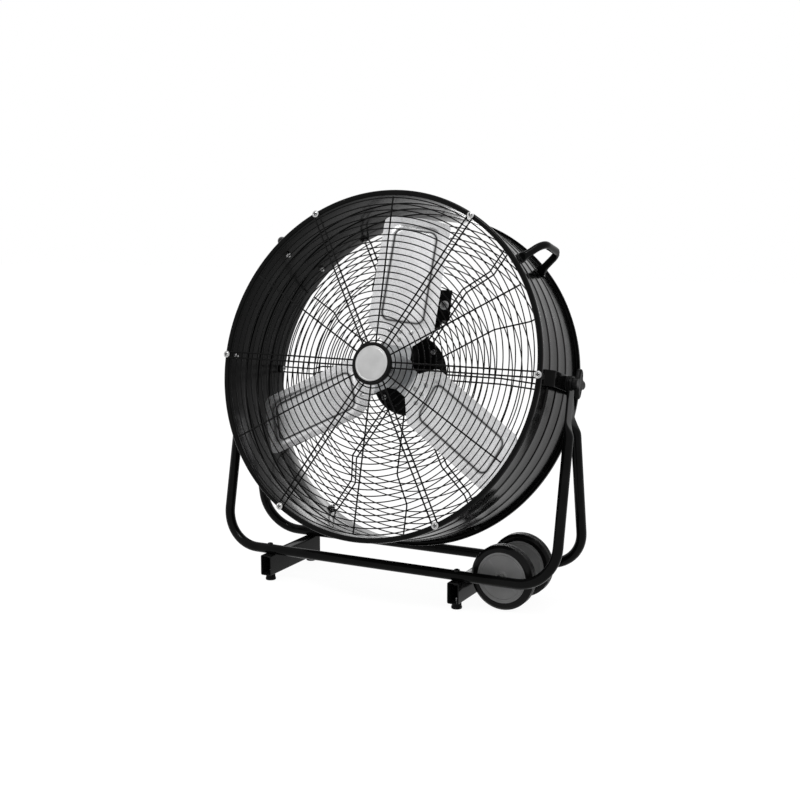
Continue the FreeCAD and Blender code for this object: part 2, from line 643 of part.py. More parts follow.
# Blades, spider and rivets share one cambered sheet surface per blade.
def blade_frame(index):
    """Placement of a blade: X along its span, Y along its chord, Z out of its front face."""
    angle = cell("blade_angle") + 360 / cell("blade_count") * index
    pitch = math.radians(cell("blade_pitch_angle"))
    span = polar(1, angle)
    chord = polar(0, angle, 0, math.cos(pitch)) - Y_AXIS * math.sin(pitch)
    turned = FreeCAD.Rotation(span, chord, span.cross(chord), "XYZ")
    return FreeCAD.Placement(V(0, cell("hub_plane"), 0), turned)


def cambered_sheet(outline, front, back):
    """Sheet of the blade's camber inside an outline, between two depths behind its front face."""
    camber = cell("blade_camber")
    span = cell("blade_tip") + cell("blade_chord")
    sheet = cylinder(camber + back, span, V(0, 0, camber), X_AXIS)
    sheet = sheet.cut(cylinder(camber + front, span, V(0, 0, camber), X_AXIS))
    depth = camber / 2
    prism = outline.extrude(V(0, 0, 2 * depth))
    prism.translate(V(0, 0, -depth))
    return sheet.common(prism)


def blade_outline():
    """Narrow root that widens at once to the full chord, with its tip cut to the fan's radius."""
    half = cell("blade_chord") / 2
    root = cell("root_chord") / 2
    tip = math.sqrt(cell("blade_tip") ** 2 - half ** 2)
    points = [
        V(cell("blade_root"), -root, 0), V(cell("blade_shoulder"), -half, 0), V(tip + half, -half, 0),
        V(tip + half, half, 0), V(cell("blade_shoulder"), half, 0), V(cell("blade_root"), root, 0),
    ]
    corner = cell("blade_corner")
    face = outline_face(points, [0, corner, 0, 0, corner, 0])
    swept = Part.Face(Part.Wire(Part.makeCircle(cell("blade_tip"))))
    trimmed = face.common(swept)
    return trimmed.Faces[0]


def panel_outline():
    half = cell("panel_width") / 2
    start = cell("panel_start")
    end = cell("panel_end")
    points = [V(start, -half, 0), V(end, -half, 0), V(end, half, 0), V(start, half, 0)]
    return outline_face(points, [cell("panel_corner")] * 4)


def arm_outline():
    half = cell("arm_width") / 2
    start = cell("arm_start")
    end = cell("arm_end")
    points = [V(start, -half, 0), V(end, -half, 0), V(end, half, 0), V(start, half, 0)]
    return outline_face(points, [0, half / 2, half / 2, 0])


def rivet_places():
    """Three rivets across the blade's root and one below them."""
    row = [(cell("rivet_outer"), side * cell("rivet_offset")) for side in (-1, 0, 1)]
    return row + [(cell("rivet_inner"), 0)]


def rivet_axis(span, across):
    """Foot of a rivet on the blade's front face and the outward direction of the sheet there."""
    camber = cell("blade_camber")
    turn = math.asin(across / camber)
    inward = V(0, -math.sin(turn), math.cos(turn))
    return V(span, across, camber - camber * math.cos(turn)), inward


def rivet_holes():
    grip = cell("blade_sheet") + cell("arm_sheet")
    holes = []
    for span, across in rivet_places():
        foot, inward = rivet_axis(span, across)
        radius = cell("rivet_radius") + cell("running_clearance")
        holes.append(cylinder(radius, 5 * grip, foot - inward * (3 * grip), inward))
    return holes


def rivet(span, across):
    grip = cell("blade_sheet") + cell("arm_sheet")
    lift = cell("running_clearance") * 2
    foot, inward = rivet_axis(span, across)
    front = foot + inward * lift
    back = foot - inward * (grip + lift)
    shank = cylinder(cell("rivet_radius"), grip + 2 * lift, back, inward)
    wide = cell("rivet_head_radius")
    narrow = cell("rivet_radius")
    shank = shank.fuse(Part.makeCone(wide, narrow, cell("rivet_head"), front, inward))
    return shank.fuse(Part.makeCone(wide, narrow, cell("rivet_head"), back, inward * -1)).removeSplitter()


def make_blades():
    sheet = cambered_sheet(blade_outline(), 0, cell("blade_sheet"))
    panel = cambered_sheet(panel_outline(), -cell("panel_rise"), cell("blade_sheet") / 2)
    blade = sheet.fuse(panel).cut(rivet_holes()).removeSplitter()
    rivets = []
    for index in range(count("blade_count")):
        frame = blade_frame(index)
        shape = blade.copy()
        shape.Placement = frame
        place_on_drum(free_part(f"fan_blade_{index + 1}", [shape]))
        for place in rivet_places():
            fastener = rivet(*place)
            fastener.Placement = frame
            rivets.append(fastener)
    place_on_drum(free_part("blade_rivets", rivets))


def make_spider():
    front = cell("blade_sheet")
    arm = cambered_sheet(arm_outline(), front, front + cell("arm_sheet")).cut(rivet_holes())
    half = cell("hub_length") / 2
    hub = cylinder(cell("hub_radius"), 2 * half, V(0, cell("hub_plane") - half, 0), Y_AXIS)
    for index in range(count("blade_count")):
        shape = arm.copy()
        shape.Placement = blade_frame(index)
        hub = hub.fuse(shape)
    hub = hub.cut(cylinder(cell("shaft_radius"), 4 * half, V(0, cell("hub_plane") - 2 * half, 0), Y_AXIS))
    place, along = set_screw_axis()
    hub = hub.cut(cylinder(cell("set_screw_radius"), 2 * cell("hub_radius"), place, along))
    place_on_drum(free_part("hub_spider", [hub.removeSplitter()]))
    screw = cylinder(cell("set_screw_radius"), cell("hub_radius"), place, along)
    bore = cylinder(cell("shaft_radius"), cell("hub_length"), V(0, cell("hub_plane") - half, 0), Y_AXIS)
    place_on_drum(free_part("hub_set_screw", [screw.cut(bore)]))


def set_screw_axis():
    """Point on the fan's axis and outward direction of the set screw, midway between two blades."""
    angle = cell("blade_angle") + 180 / cell("blade_count")
    return V(0, cell("hub_plane"), 0), polar(1, angle)


def make_hub_nut():
    seat = V(0, cell("hub_plane") - cell("hub_length") / 2, 0)
    nut = hex_nut(seat, Y_AXIS * -1, cell("hub_nut_radius"), cell("hub_nut_length"), cell("shaft_radius"))
    place_on_drum(free_part("hub_nut", [nut]))


# Motor, from its mounting plate in the guard's recess to its rear cover.
def motor_bolt_points(y):
    step = 360 / cell("motor_bolt_count")
    angles = [step * (index + 0.5) for index in range(count("motor_bolt_count"))]
    return [polar(cell("motor_bolt_circle"), angle, y) for angle in angles]


def motor_bolt_drills():
    radius = cell("shell_bolt_radius") + cell("running_clearance")
    length = 3 * (cell("plate_sheet") + cell("motor_flange"))
    start = size(PLATE_FRONT) - length / 3
    return [cylinder(radius, length, point, Y_AXIS) for point in motor_bolt_points(start)]


def make_motor():
    plate = ring_body(
        "motor_mount_plate", "Sizes.bearing_boss_radius + Sizes.loose_clearance", "Sizes.plate_radius",
        PLATE_FRONT, MOTOR_FACE,
    )
    place_on_drum(drilled(plate, motor_bolt_drills()))
    boss_front = f"({MOTOR_FACE} - Sizes.front_boss_length)"
    seat_back = f"({boss_front} + Sizes.bearing_width)"
    flange_back = f"({MOTOR_FACE} + Sizes.motor_flange)"
    split = f"({MOTOR_FACE} + Sizes.motor_split)"
    bore = "(Sizes.motor_radius - Sizes.motor_wall)"
    shaft_hole = "Sizes.shaft_radius + Sizes.shaft_gap"
    front = [("Sizes.bearing_radius", boss_front), ("Sizes.bearing_boss_radius", boss_front)]
    front += [("Sizes.bearing_boss_radius", MOTOR_FACE), ("Sizes.motor_flange_radius", MOTOR_FACE)]
    front += [("Sizes.motor_flange_radius", flange_back), ("Sizes.motor_radius", flange_back)]
    front += [("Sizes.motor_radius", split), (bore, split), (bore, flange_back), (shaft_hole, flange_back)]
    front += [(shaft_hole, seat_back), ("Sizes.bearing_radius", seat_back)]
    place_on_drum(drilled(turned_body("motor_front_shell", front), motor_bolt_drills()))
    back = f"({MOTOR_FACE} + Sizes.motor_length)"
    inside = f"({back} - Sizes.motor_wall)"
    boss = f"({inside} - Sizes.bearing_width)"
    rear = [("0", back), ("Sizes.motor_radius", back), ("Sizes.motor_radius", split), (bore, split)]
    rear += [(bore, inside), ("Sizes.bearing_boss_radius", inside), ("Sizes.bearing_boss_radius", boss)]
    rear += [("Sizes.bearing_radius", boss), ("Sizes.bearing_radius", inside), ("0", inside)]
    place_on_drum(turned_body("motor_rear_shell", rear))
    make_motor_inside(boss_front, seat_back, boss, inside, bore)
    make_motor_bolts()


def make_motor_inside(boss_front, seat_back, boss, inside, bore):
    shaft_fit = "Sizes.shaft_radius + Sizes.running_clearance"
    place_on_drum(ring_body("front_bearing", shaft_fit, "Sizes.bearing_radius", boss_front, seat_back))
    place_on_drum(ring_body("rear_bearing", shaft_fit, "Sizes.bearing_radius", boss, inside))
    start = f"({MOTOR_FACE} + Sizes.stator_start)"
    end = f"({start} + Sizes.stator_length)"
    place_on_drum(ring_body("stator_core", "Sizes.stator_bore", bore, start, end))
    core = "Sizes.stator_bore - Sizes.air_gap"
    place_on_drum(ring_body("rotor_core", "Sizes.shaft_radius", core, start, end))
    hub_front = "Sizes.hub_plane - Sizes.hub_length / 2 - Sizes.hub_nut_length - Sizes.shaft_gap"
    shaft_end = f"{inside} - Sizes.loose_clearance"
    place_on_drum(ring_body("motor_shaft", "0", "Sizes.shaft_radius", hub_front, shaft_end))
    outer = size(bore) - cell("winding_gap")
    coils = []
    for place in (size(start) - cell("winding_length"), size(end)):
        coil = cylinder(outer, cell("winding_length"), V(0, place, 0), Y_AXIS)
        coils.append(coil.cut(cylinder(cell("winding_bore"), cell("winding_length"), V(0, place, 0), Y_AXIS)))
    place_on_drum(free_part("stator_windings", coils))


def make_motor_bolts():
    grip = cell("plate_sheet") + cell("motor_flange")
    length = grip + cell("nut_height") + cell("sheet")
    shank = cell("shell_bolt_radius")
    fasteners = []
    for seat in motor_bolt_points(size(PLATE_FRONT)):
        fasteners.append(bolt(seat, Y_AXIS, shank, length, cell("bolt_head_radius"), cell("bolt_head")))
        nut_seat = seat + Y_AXIS * grip
        fasteners.append(hex_nut(nut_seat, Y_AXIS, cell("nut_radius"), cell("nut_height"), shank))
    place_on_drum(free_part("motor_bolts", fasteners))


# Control box on the back of the guard's recess, with switch, capacitor, gland and motor lead.
def box_bolt_points(y):
    return [polar(cell("box_bolt_circle"), cell(angle), y) for angle in BOX_BOLT_ANGLES]


def cover_screw_points(y):
    inset = cell("cover_screw_inset")
    columns = (cell("box_left") + inset, cell("box_right") - inset)
    rows = (cell("box_bottom") + inset, cell("box_top") - inset)
    return [V(x, y, z) for x in columns for z in rows]


def knob_axis(y):
    return V(cell("speed_knob_place"), y, (cell("box_bottom") + cell("box_top")) / 2)


def group_on_drum(label, solids):
    return place_on_drum(free_part(label, solids))


def make_control_box():
    low = ("Sizes.box_left", PLATE_FRONT, "Sizes.box_bottom")
    high = ("Sizes.box_right", BOX_BACK, "Sizes.box_top")
    wall = "Sizes.box_wall"
    shell = box_feature("ControlBoxBlock", low, high)
    inside = tuple(f"({edge} + {wall})" for edge in low)
    ear_low = ("Sizes.box_right", PLATE_FRONT, "Sizes.box_bottom")
    ear_high = ("Sizes.box_ear_end", f"({PLATE_FRONT} + {wall})", "Sizes.box_top")
    body = doc.addObject("Part::Fuse", "ControlBoxWithEar")
    body.Base = shell
    body.Tool = box_feature("ControlBoxEar", ear_low, ear_high)
    room = box_feature("ControlBoxRoom", inside, (f"({high[0]} - {wall})", high[1], f"({high[2]} - {wall})"))
    drills = doc.addObject("Part::Feature", "ControlBoxDrills")
    fit = cell("running_clearance")
    tools = [
        cylinder(cell("shell_bolt_radius") + fit, 2 * cell("box_depth"), point, Y_AXIS)
        for point in box_bolt_points(size(PLATE_FRONT) - cell("box_depth"))
    ]
    middle = size(PLATE_FRONT) + cell("box_depth") / 2
    below = cell("box_bottom") - cell("box_wall")
    for place, radius in (("gland_place", "gland_bore"), ("lead_place", "lead_radius")):
        start = V(cell(place), middle, below)
        tools.append(cylinder(cell(radius) + fit, 4 * cell("box_wall"), start, Z_AXIS))
    drills.Shape = Part.makeCompound(tools)
    box = doc.addObject("Part::Fuse", "ControlBoxWithPosts")
    box.Base = cut_feature("ControlBox", body, [room, drills])
    box.Tool = doc.addObject("Part::Feature", "ControlBoxPosts")
    box.Tool.Shape = Part.makeCompound(box_posts())
    place_on_drum(register(box, "control_box"))


def box_posts():
    """Corner posts, grown into the walls, that take the cover's screws."""
    radius = cell("cover_screw_inset") - cell("box_wall") / 2
    length = cell("box_depth") - cell("box_wall") / 2
    posts = []
    for point in cover_screw_points(size(PLATE_FRONT) + cell("box_wall") / 2):
        post = cylinder(radius, length, point, Y_AXIS)
        posts.append(post.cut(cylinder(cell("cover_screw_radius"), length, point, Y_AXIS)))
    return posts


def make_box_cover():
    low = ("Sizes.box_left", BOX_BACK, "Sizes.box_bottom")
    high = ("Sizes.box_right", COVER_BACK, "Sizes.box_top")
    plate = box_feature("ControlBoxCoverPlate", low, high)
    drills = doc.addObject("Part::Feature", "ControlBoxCoverDrills")
    start = size(BOX_BACK) - cell("cover_sheet")
    length = 3 * cell("cover_sheet")
    screw_fit = cell("cover_screw_radius") + cell("running_clearance")
    tools = [cylinder(screw_fit, length, point, Y_AXIS) for point in cover_screw_points(start)]
    tools.append(cylinder(cell("spindle_radius") + cell("loose_clearance"), length, knob_axis(start), Y_AXIS))
    drills.Shape = Part.makeCompound(tools)
    cover = cut_feature("ControlBoxCover", plate, [drills])
    place_on_drum(register(cover, "control_box_cover"))
    grip = cell("cover_sheet") + cell("box_depth") / 2
    head = cell("cover_head_radius")
    screws = [
        bolt(point, Y_AXIS * -1, cell("cover_screw_radius"), grip, head, cell("cover_head"))
        for point in cover_screw_points(size(COVER_BACK))
    ]
    group_on_drum("control_box_screws", screws)


def make_box_mounting():
    """Bolts with broad washers that clamp the box to the guard's rings."""
    front = size(f"{RECESS_RINGS} - Sizes.ring_wire / 2 - Sizes.box_washer")
    fasteners = []
    shank = cell("shell_bolt_radius")
    inside = size(PLATE_FRONT) + cell("box_wall")
    for point in box_bolt_points(front):
        washer = cylinder(cell("box_washer_radius"), cell("box_washer"), point, Y_AXIS)
        fasteners.append(washer.cut(cylinder(shank, cell("box_washer"), point, Y_AXIS)))
        length = inside + cell("nut_height") - front + cell("box_wall")
        fasteners.append(bolt(point, Y_AXIS, shank, length, cell("bolt_head_radius"), cell("bolt_head")))
        seat = V(point.x, inside, point.z)
        fasteners.append(hex_nut(seat, Y_AXIS, cell("nut_radius"), cell("nut_height"), shank))
    group_on_drum("control_box_bolts", fasteners)


def make_box_contents():
    half = cell("switch_width") / 2
    front = size(BOX_BACK) - cell("switch_depth")
    corner = knob_axis(front) - V(half, 0, half)
    switch = Part.makeBox(2 * half, cell("switch_depth"), 2 * half, corner)
    socket = size(BOX_BACK) - cell("spindle_socket")
    fit = cell("spindle_radius") + cell("running_clearance")
    switch = switch.cut(cylinder(fit, cell("switch_depth"), knob_axis(socket), Y_AXIS))
    group_on_drum("speed_switch", [switch])
    length = cell("spindle_socket") + cell("cover_sheet") + cell("spindle_length")
    start = knob_axis(socket + cell("running_clearance"))
    group_on_drum("switch_spindle", [cylinder(cell("spindle_radius"), length, start, Y_AXIS)])
    bottom = (cell("box_bottom") + cell("box_top") - cell("capacitor_length")) / 2
    place = V(cell("capacitor_place"), size(PLATE_FRONT) + cell("capacitor_depth"), bottom)
    group_on_drum("capacitor", [cylinder(cell("capacitor_radius"), cell("capacitor_length"), place, Z_AXIS)])


def make_speed_knob():
    start = size(COVER_BACK) + cell("loose_clearance")
    knob = cylinder(cell("speed_knob_radius"), cell("speed_knob_height"), knob_axis(start), Y_AXIS)
    middle = start + cell("speed_knob_height") / 2
    far_edge = [edge for edge in knob.Edges if edge.isClosed() and edge.CenterOfMass.y > middle]
    knob = knob.makeFillet(cell("rim_round"), far_edge)
    width = cell("spindle_radius")
    corner = knob_axis(start + cell("speed_knob_height")) - V(width / 2, width / 2, 0)
    pointer = Part.makeBox(width, width, cell("speed_knob_radius") - width, corner)
    bore = cylinder(cell("spindle_radius"), cell("spindle_length"), knob_axis(start), Y_AXIS)
    knob = knob.fuse(pointer).cut(bore)
    group_on_drum("speed_knob", [knob.removeSplitter()])


def make_gland_and_lead():
    middle = size(PLATE_FRONT) + cell("box_depth") / 2
    bottom = V(cell("gland_place"), middle, cell("box_bottom"))
    step = cell("gland_length") / 3
    gland = cylinder(cell("gland_radius"), step, bottom - Z_AXIS * step, Z_AXIS)
    gland = gland.fuse(cylinder(cell("gland_neck_radius"), 2 * step, bottom - Z_AXIS * (3 * step), Z_AXIS))
    gland = gland.cut(cylinder(cell("gland_bore"), 3 * step, bottom - Z_AXIS * (3 * step), Z_AXIS))
    group_on_drum("cable_gland", [gland.removeSplitter()])
    top = cell("box_bottom") + cell("box_wall")
    lead = cylinder(cell("lead_radius"), top, V(cell("lead_place"), middle, 0), Z_AXIS)
    motor = cylinder(cell("motor_radius"), cell("motor_length"), V(0, size(MOTOR_FACE), 0), Y_AXIS)
    group_on_drum("motor_lead", [lead.cut(motor).Solids[0]])


# Frame: two bent tubes with flattened tops, two foot beams, rubber feet.
def frame_reach():
    rise = cell("pivot_height") - size(TUBE_HEIGHT)
    return math.hypot(size(TUBE_STANCE), rise)


def frame_lean():
    """Lean of each tube from upright, in radians."""
    return math.asin(size(TUBE_STANCE) / frame_reach())


def lug_length():
    """Flat from the pivot down to where the two crossing tubes have parted."""
    return cell("lug_width") / 2 / math.sin(frame_lean()) + cell("lug_margin")


def taper(side, lug_inner, start, end):
    """Tube squeezed from its round section to the flat lug, in the tube's own plane."""
    radius = cell("tube_radius")
    centre = V(side * cell("upright_offset"), 0, start)
    eighth = math.pi / 4
    turns = [eighth * step for step in range(1, 10)]
    around = [centre + V(radius * math.cos(turn), radius * math.sin(turn), 0) for turn in turns]
    arcs = [Part.Arc(*around[first:first + 3]).toShape() for first in range(0, 8, 2)]
    near = lug_inner
    far = lug_inner + cell("lug_sheet")
    half = cell("lug_width") / 2
    right, left = (far, near) if side > 0 else (-near, -far)
    corners = [V(right, half, end), V(left, half, end), V(left, -half, end), V(right, -half, end)]
    flat = Part.makePolygon(corners + corners[:1])
    return Part.makeLoft([Part.Wire(arcs), flat], True, True)


def lug(side, lug_inner, start, top):
    half = cell("lug_width") / 2
    x = side * lug_inner
    foot = [V(x, -half, start), V(x, half, start)]
    head = [V(x, half, top), V(x, 0, top + half), V(x, -half, top)]
    edges = [
        Part.LineSegment(foot[0], foot[1]).toShape(), Part.LineSegment(foot[1], head[0]).toShape(),
        Part.Arc(*head).toShape(), Part.LineSegment(head[2], foot[0]).toShape(),
    ]
    plate = Part.Face(Part.Wire(edges)).extrude(X_AXIS * side * cell("lug_sheet"))
    bore = cell("pivot_bolt_radius") + cell("running_clearance")
    start = V(side * (lug_inner - cell("lug_sheet")), 0, top)
    return plate.cut(cylinder(bore, 4 * cell("lug_sheet"), start, X_AXIS * side))


def frame_tube(lug_inner):
    """U-shaped tube in its own upright plane, its bottom run on the X axis."""
    top = frame_reach()
    lug_start = top - lug_length()
    round_end = lug_start - cell("lug_taper")
    offset = cell("upright_offset")
    points = [V(-offset, 0, round_end), V(-offset, 0, 0), V(offset, 0, 0), V(offset, 0, round_end)]
    path = rounded_path(points, [cell("tube_bend")] * 2)
    tube = rod(path, cell("tube_radius"))
    for side in (-1, 1):
        tube = tube.fuse(taper(side, lug_inner, round_end, lug_start))
        tube = tube.fuse(lug(side, lug_inner, lug_start, top))
    return tube.removeSplitter().cut(rod(path, cell("tube_radius") - cell("tube_wall")))


def beam_places():
    return (cell("left_beam"), cell("right_beam"))


def beam_bolt_drills():
    radius = cell("frame_bolt_radius") + cell("running_clearance")
    start = size(TUBE_HEIGHT) - 2 * cell("tube_radius")
    return [cylinder(radius, 4 * cell("tube_radius"), point, Z_AXIS) for point in foot_points(start)]


def axle_drill():
    """One drill for the wheel axle, blind in both bottom runs."""
    radius = cell("axle_radius") + cell("running_clearance")
    start = V(cell("wheel_place"), -size(AXLE_END), size(TUBE_HEIGHT))
    return cylinder(radius, 2 * size(AXLE_END), start, Y_AXIS)


def make_frame_tubes():
    stack = pivot_stack()
    height = size(TUBE_HEIGHT)
    lean = math.degrees(frame_lean())
    for name, side, lug_place in (("front", -1, "outer_lug"), ("rear", 1, "inner_lug")):
        tube = frame_tube(stack[lug_place])
        tube.Placement = FreeCAD.Placement(
            V(0, side * size(TUBE_STANCE), height), FreeCAD.Rotation(X_AXIS, side * lean)
        )
        free_part(f"{name}_frame_tube", [tube.cut(beam_bolt_drills() + [axle_drill()])])


def make_beam(label, place):
    half_x = "Sizes.beam_width / 2"
    half_y = "Sizes.beam_length / 2"
    wall = "Sizes.beam_wall"
    low = (f"{place} - {half_x}", f"-{half_y}", "Sizes.foot_height")
    high = (f"({place} + {half_x})", f"({half_y})", BEAM_TOP)
    outer = box_feature(label + "Block", low, high)
    room_low = (f"{low[0]} + {wall}", f"{low[1]} - {wall}", f"{low[2]} + {wall}")
    room_high = (f"({high[0]} - {wall})", f"({high[1]} + {wall})", f"({high[2]} - {wall})")
    inner = box_feature(label + "Room", room_low, room_high)
    drills = doc.addObject("Part::Feature", label + "Drills")
    height = cell("foot_height")
    tools = beam_bolt_drills()
    for point in foot_points(height / 2):
        tools.append(cylinder(cell("foot_screw_radius"), height, point, Z_AXIS))
    drills.Shape = Part.makeCompound(tools)
    register(cut_feature(label, outer, [inner, drills]), label)


def foot_points(z):
    return [V(x, side * size(TUBE_STANCE), z) for x in beam_places() for side in (-1, 1)]


def make_frame_fasteners():
    fasteners = []
    top = size(TUBE_HEIGHT) + cell("tube_radius")
    nut_seat = size(BEAM_TOP) - cell("beam_wall")
    length = top - nut_seat + cell("frame_nut") + cell("beam_wall")
    shank = cell("frame_bolt_radius")
    down = Z_AXIS * -1
    for point in foot_points(top):
        fasteners.append(bolt(point, down, shank, length, cell("frame_head_radius"), cell("frame_head")))
        seat = V(point.x, point.y, nut_seat)
        fasteners.append(hex_nut(seat, down, cell("frame_nut_radius"), cell("frame_nut"), shank))
    free_part("frame_bolts", fasteners)


def make_feet():
    feet = []
    screws = []
    sink = cell("foot_screw_sink")
    head = cell("bolt_head_radius")
    for point in foot_points(0):
        foot = Part.makeCone(cell("foot_radius"), cell("foot_top_radius"), cell("foot_height"), point, Z_AXIS)
        foot = foot.cut(cylinder(head, sink, point, Z_AXIS))
        feet.append(foot.cut(cylinder(cell("foot_screw_radius"), cell("foot_height"), point, Z_AXIS)))
        seat = point + Z_AXIS * sink
        length = cell("foot_height") - sink + cell("beam_wall") + cell("foot_screw_grip")
        screws.append(bolt(seat, Z_AXIS, cell("foot_screw_radius"), length, head, cell("bolt_head")))
    free_part("rubber_feet", feet)
    free_part("foot_screws", screws)


# Transport wheels between the two tubes at the right end.
def place_on_axle(part, side=None):
    part.setExpression(".Placement.Base.x", "Sizes.wheel_place")
    part.setExpression(".Placement.Base.z", TUBE_HEIGHT)
    if side is not None:
        part.setExpression(".Placement.Base.y", f"{side} * {WHEEL_OFFSET}")
    return part


def make_wheel(name, side):
    half = "Sizes.wheel_width / 2"
    tread = "(Sizes.wheel_radius - Sizes.tyre_round)"
    shoulder = f"({half} - Sizes.tyre_round)"
    tyre = [("Sizes.disc_radius", f"-{half}"), (tread, f"-{half}"), ("Sizes.wheel_radius", f"-{shoulder}")]
    tyre += [("Sizes.wheel_radius", shoulder), (tread, half), ("Sizes.disc_radius", half)]
    place_on_axle(turned_body(f"{name}_wheel_tyre", tyre), side)
    face = "Sizes.disc_width / 2"
    sunk = f"({face} - Sizes.disc_groove)"
    bore = "Sizes.axle_radius + Sizes.running_clearance"
    groove = "Sizes.disc_groove_radius"
    rim = f"({groove} + Sizes.disc_groove * 2)"
    hub = "Sizes.wheel_hub_radius"
    edge = "Sizes.disc_radius"
    right_side = [(edge, sunk), (rim, sunk), (rim, face), (groove, face), (groove, sunk)]
    right_side += [(hub, sunk), (hub, half), (bore, half)]
    left_side = [(radius, f"-{along}") for radius, along in reversed(right_side)]
    place_on_axle(turned_body(f"{name}_wheel_disc", left_side + right_side), side)


def make_axle():
    place_on_axle(ring_body("wheel_axle", "0", "Sizes.axle_radius", f"-{AXLE_END}", AXLE_END))
    gap = cell("loose_clearance")
    inner = size(WHEEL_OFFSET) - cell("wheel_width") / 2 - gap
    outer = size(WHEEL_OFFSET) + cell("wheel_width") / 2 + gap
    tube_face = size(TUBE_STANCE) - cell("tube_radius") - gap
    sleeves = []
    for start, end in ((-tube_face, -outer), (-inner, inner), (outer, tube_face)):
        sleeve = cylinder(cell("spacer_radius"), end - start, V(0, start, 0), Y_AXIS)
        sleeves.append(sleeve.cut(cylinder(cell("axle_radius"), end - start, V(0, start, 0), Y_AXIS)))
    place_on_axle(free_part("wheel_spacers", sleeves))


make_drum_shell()
make_front_guard()
make_rear_guard()
make_badge()
make_guard_screws()
make_wall_fasteners()
make_handle("right_handle", handle_angles()[0])
make_handle("left_handle", handle_angles()[1])
make_bracket("right_pivot_bracket", 1)
make_bracket("left_pivot_bracket", -1)
make_pivot("right", 1)
make_pivot("left", -1)
make_pivot_washers()
make_blades()
make_spider()
make_hub_nut()
make_motor()
make_control_box()
make_box_cover()
make_box_mounting()
make_box_contents()
make_speed_knob()
make_gland_and_lead()
make_frame_tubes()
make_beam("left_foot_beam", "Sizes.left_beam")
make_beam("right_foot_beam", "Sizes.right_beam")
make_frame_fasteners()
make_feet()
make_wheel("front", -1)
make_wheel("rear", 1)
make_axle()
doc.recompute()

# Every object has to be up to date and every sub-part a sound shape before anything is written.
for item in doc.Objects:
    if "Invalid" in item.State or "Error" in item.State:
        raise RuntimeError(f"{item.Label} failed: {item.State}")
unsound = [
    part.Label for part in parts if part.Shape.isNull() or not part.Shape.isValid() or not part.Shape.Solids
]
if unsound:
    raise RuntimeError(f"no sound shape: {unsound}")

os.makedirs("parts", exist_ok=True)
for part in parts:
    part.Shape.exportStep(f"parts/{part.Label}.step")
print(len(parts), "sub-parts written")
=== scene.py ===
# %% [markdown]
# # A drum floor fan
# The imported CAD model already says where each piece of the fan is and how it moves.
# This lesson loads it as a fixed frame, remakes the pieces that the eye rests on with finer
# geometry, gives every surface a procedural finish, and lights the fan in a white studio.

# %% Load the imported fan
import json
import math

import bmesh
import bpy
from mathutils import Matrix, Vector


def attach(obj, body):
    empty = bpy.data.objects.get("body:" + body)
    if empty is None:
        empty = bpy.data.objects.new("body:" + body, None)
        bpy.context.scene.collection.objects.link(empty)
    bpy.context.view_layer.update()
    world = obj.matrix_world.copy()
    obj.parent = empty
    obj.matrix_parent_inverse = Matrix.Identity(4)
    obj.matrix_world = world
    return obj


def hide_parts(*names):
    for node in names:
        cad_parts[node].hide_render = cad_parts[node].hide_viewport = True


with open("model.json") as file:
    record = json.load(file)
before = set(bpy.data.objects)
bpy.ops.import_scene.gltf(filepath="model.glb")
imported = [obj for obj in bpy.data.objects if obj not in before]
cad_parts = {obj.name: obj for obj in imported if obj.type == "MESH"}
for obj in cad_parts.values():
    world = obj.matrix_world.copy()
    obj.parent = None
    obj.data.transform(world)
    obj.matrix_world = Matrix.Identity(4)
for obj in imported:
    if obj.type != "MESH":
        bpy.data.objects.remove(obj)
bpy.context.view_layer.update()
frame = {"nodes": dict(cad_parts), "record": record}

# %% [markdown]
# The drum, with its motor, blades and guards, hangs on a pivot line and leans back at rest.
# It is easier to model all of that upright, with the fan's axis along Y and the origin on the
# pivot line, and to lean the finished mesh back. Lengths below are in millimetres, as on the
# fan's drawings, so the same matrix also brings them to metres.

# %% The drum's own frame
MM = 0.001
PIVOT_HEIGHT = 415.5
REST_TILT = math.radians(14.8)
TO_METRES = Matrix.Scale(MM, 4)
LEAN = Matrix.Rotation(-REST_TILT, 4, "X")
ON_DRUM = TO_METRES @ Matrix.Translation((0, 0, PIVOT_HEIGHT)) @ LEAN
print("drum leans back by", round(math.degrees(REST_TILT), 1), "degrees")

# %% [markdown]
# ## Finishes
# Almost everything on this fan is black, so the finishes have to differ by gloss and grain:
# powder coat has a fine orange peel and the deepest gloss, moulded plastic has a dull grain,
# and the rubber of the feet is duller still.
# Each finish is a Principled shader whose colour, roughness and bump come from noise in
# object space. Object space is the fan's own frame in metres, so the grain keeps its size
# on every piece.


# %% Nodes and links
def add_node(tree, kind, inputs=None, **options):
    """New node in a tree, with its options set first and then values for some of its inputs."""
    node = tree.nodes.new(kind)
    for option, value in options.items():
        setattr(node, option, value)
    for title, value in (inputs or {}).items():
        node.inputs[title].default_value = value
    return node


def link(source, target):
    target.id_data.links.new(source, target)


def shader_input(material, title):
    return material.node_tree.nodes["Principled BSDF"].inputs[title]


# %% Building blocks that set noise and colour
def plain_finish(name, metallic, specular=0.5):
    material = bpy.data.materials.new(name)
    material.use_nodes = True
    shader_input(material, "Metallic").default_value = metallic
    shader_input(material, "Specular IOR Level").default_value = specular
    return material


def grain(material, size, detail=3.0, stretch=(1, 1, 1)):
    """Noise of a feature size in millimetres; stretch above 1 squeezes it along that axis."""
    tree = material.node_tree
    place = add_node(tree, "ShaderNodeTexCoord")
    mapping = add_node(tree, "ShaderNodeMapping", {"Scale": stretch})
    noise = add_node(tree, "ShaderNodeTexNoise", {"Scale": 1 / (size * MM), "Detail": detail})
    link(place.outputs["Object"], mapping.inputs["Vector"])
    link(mapping.outputs["Vector"], noise.inputs["Vector"])
    return noise.outputs["Fac"]


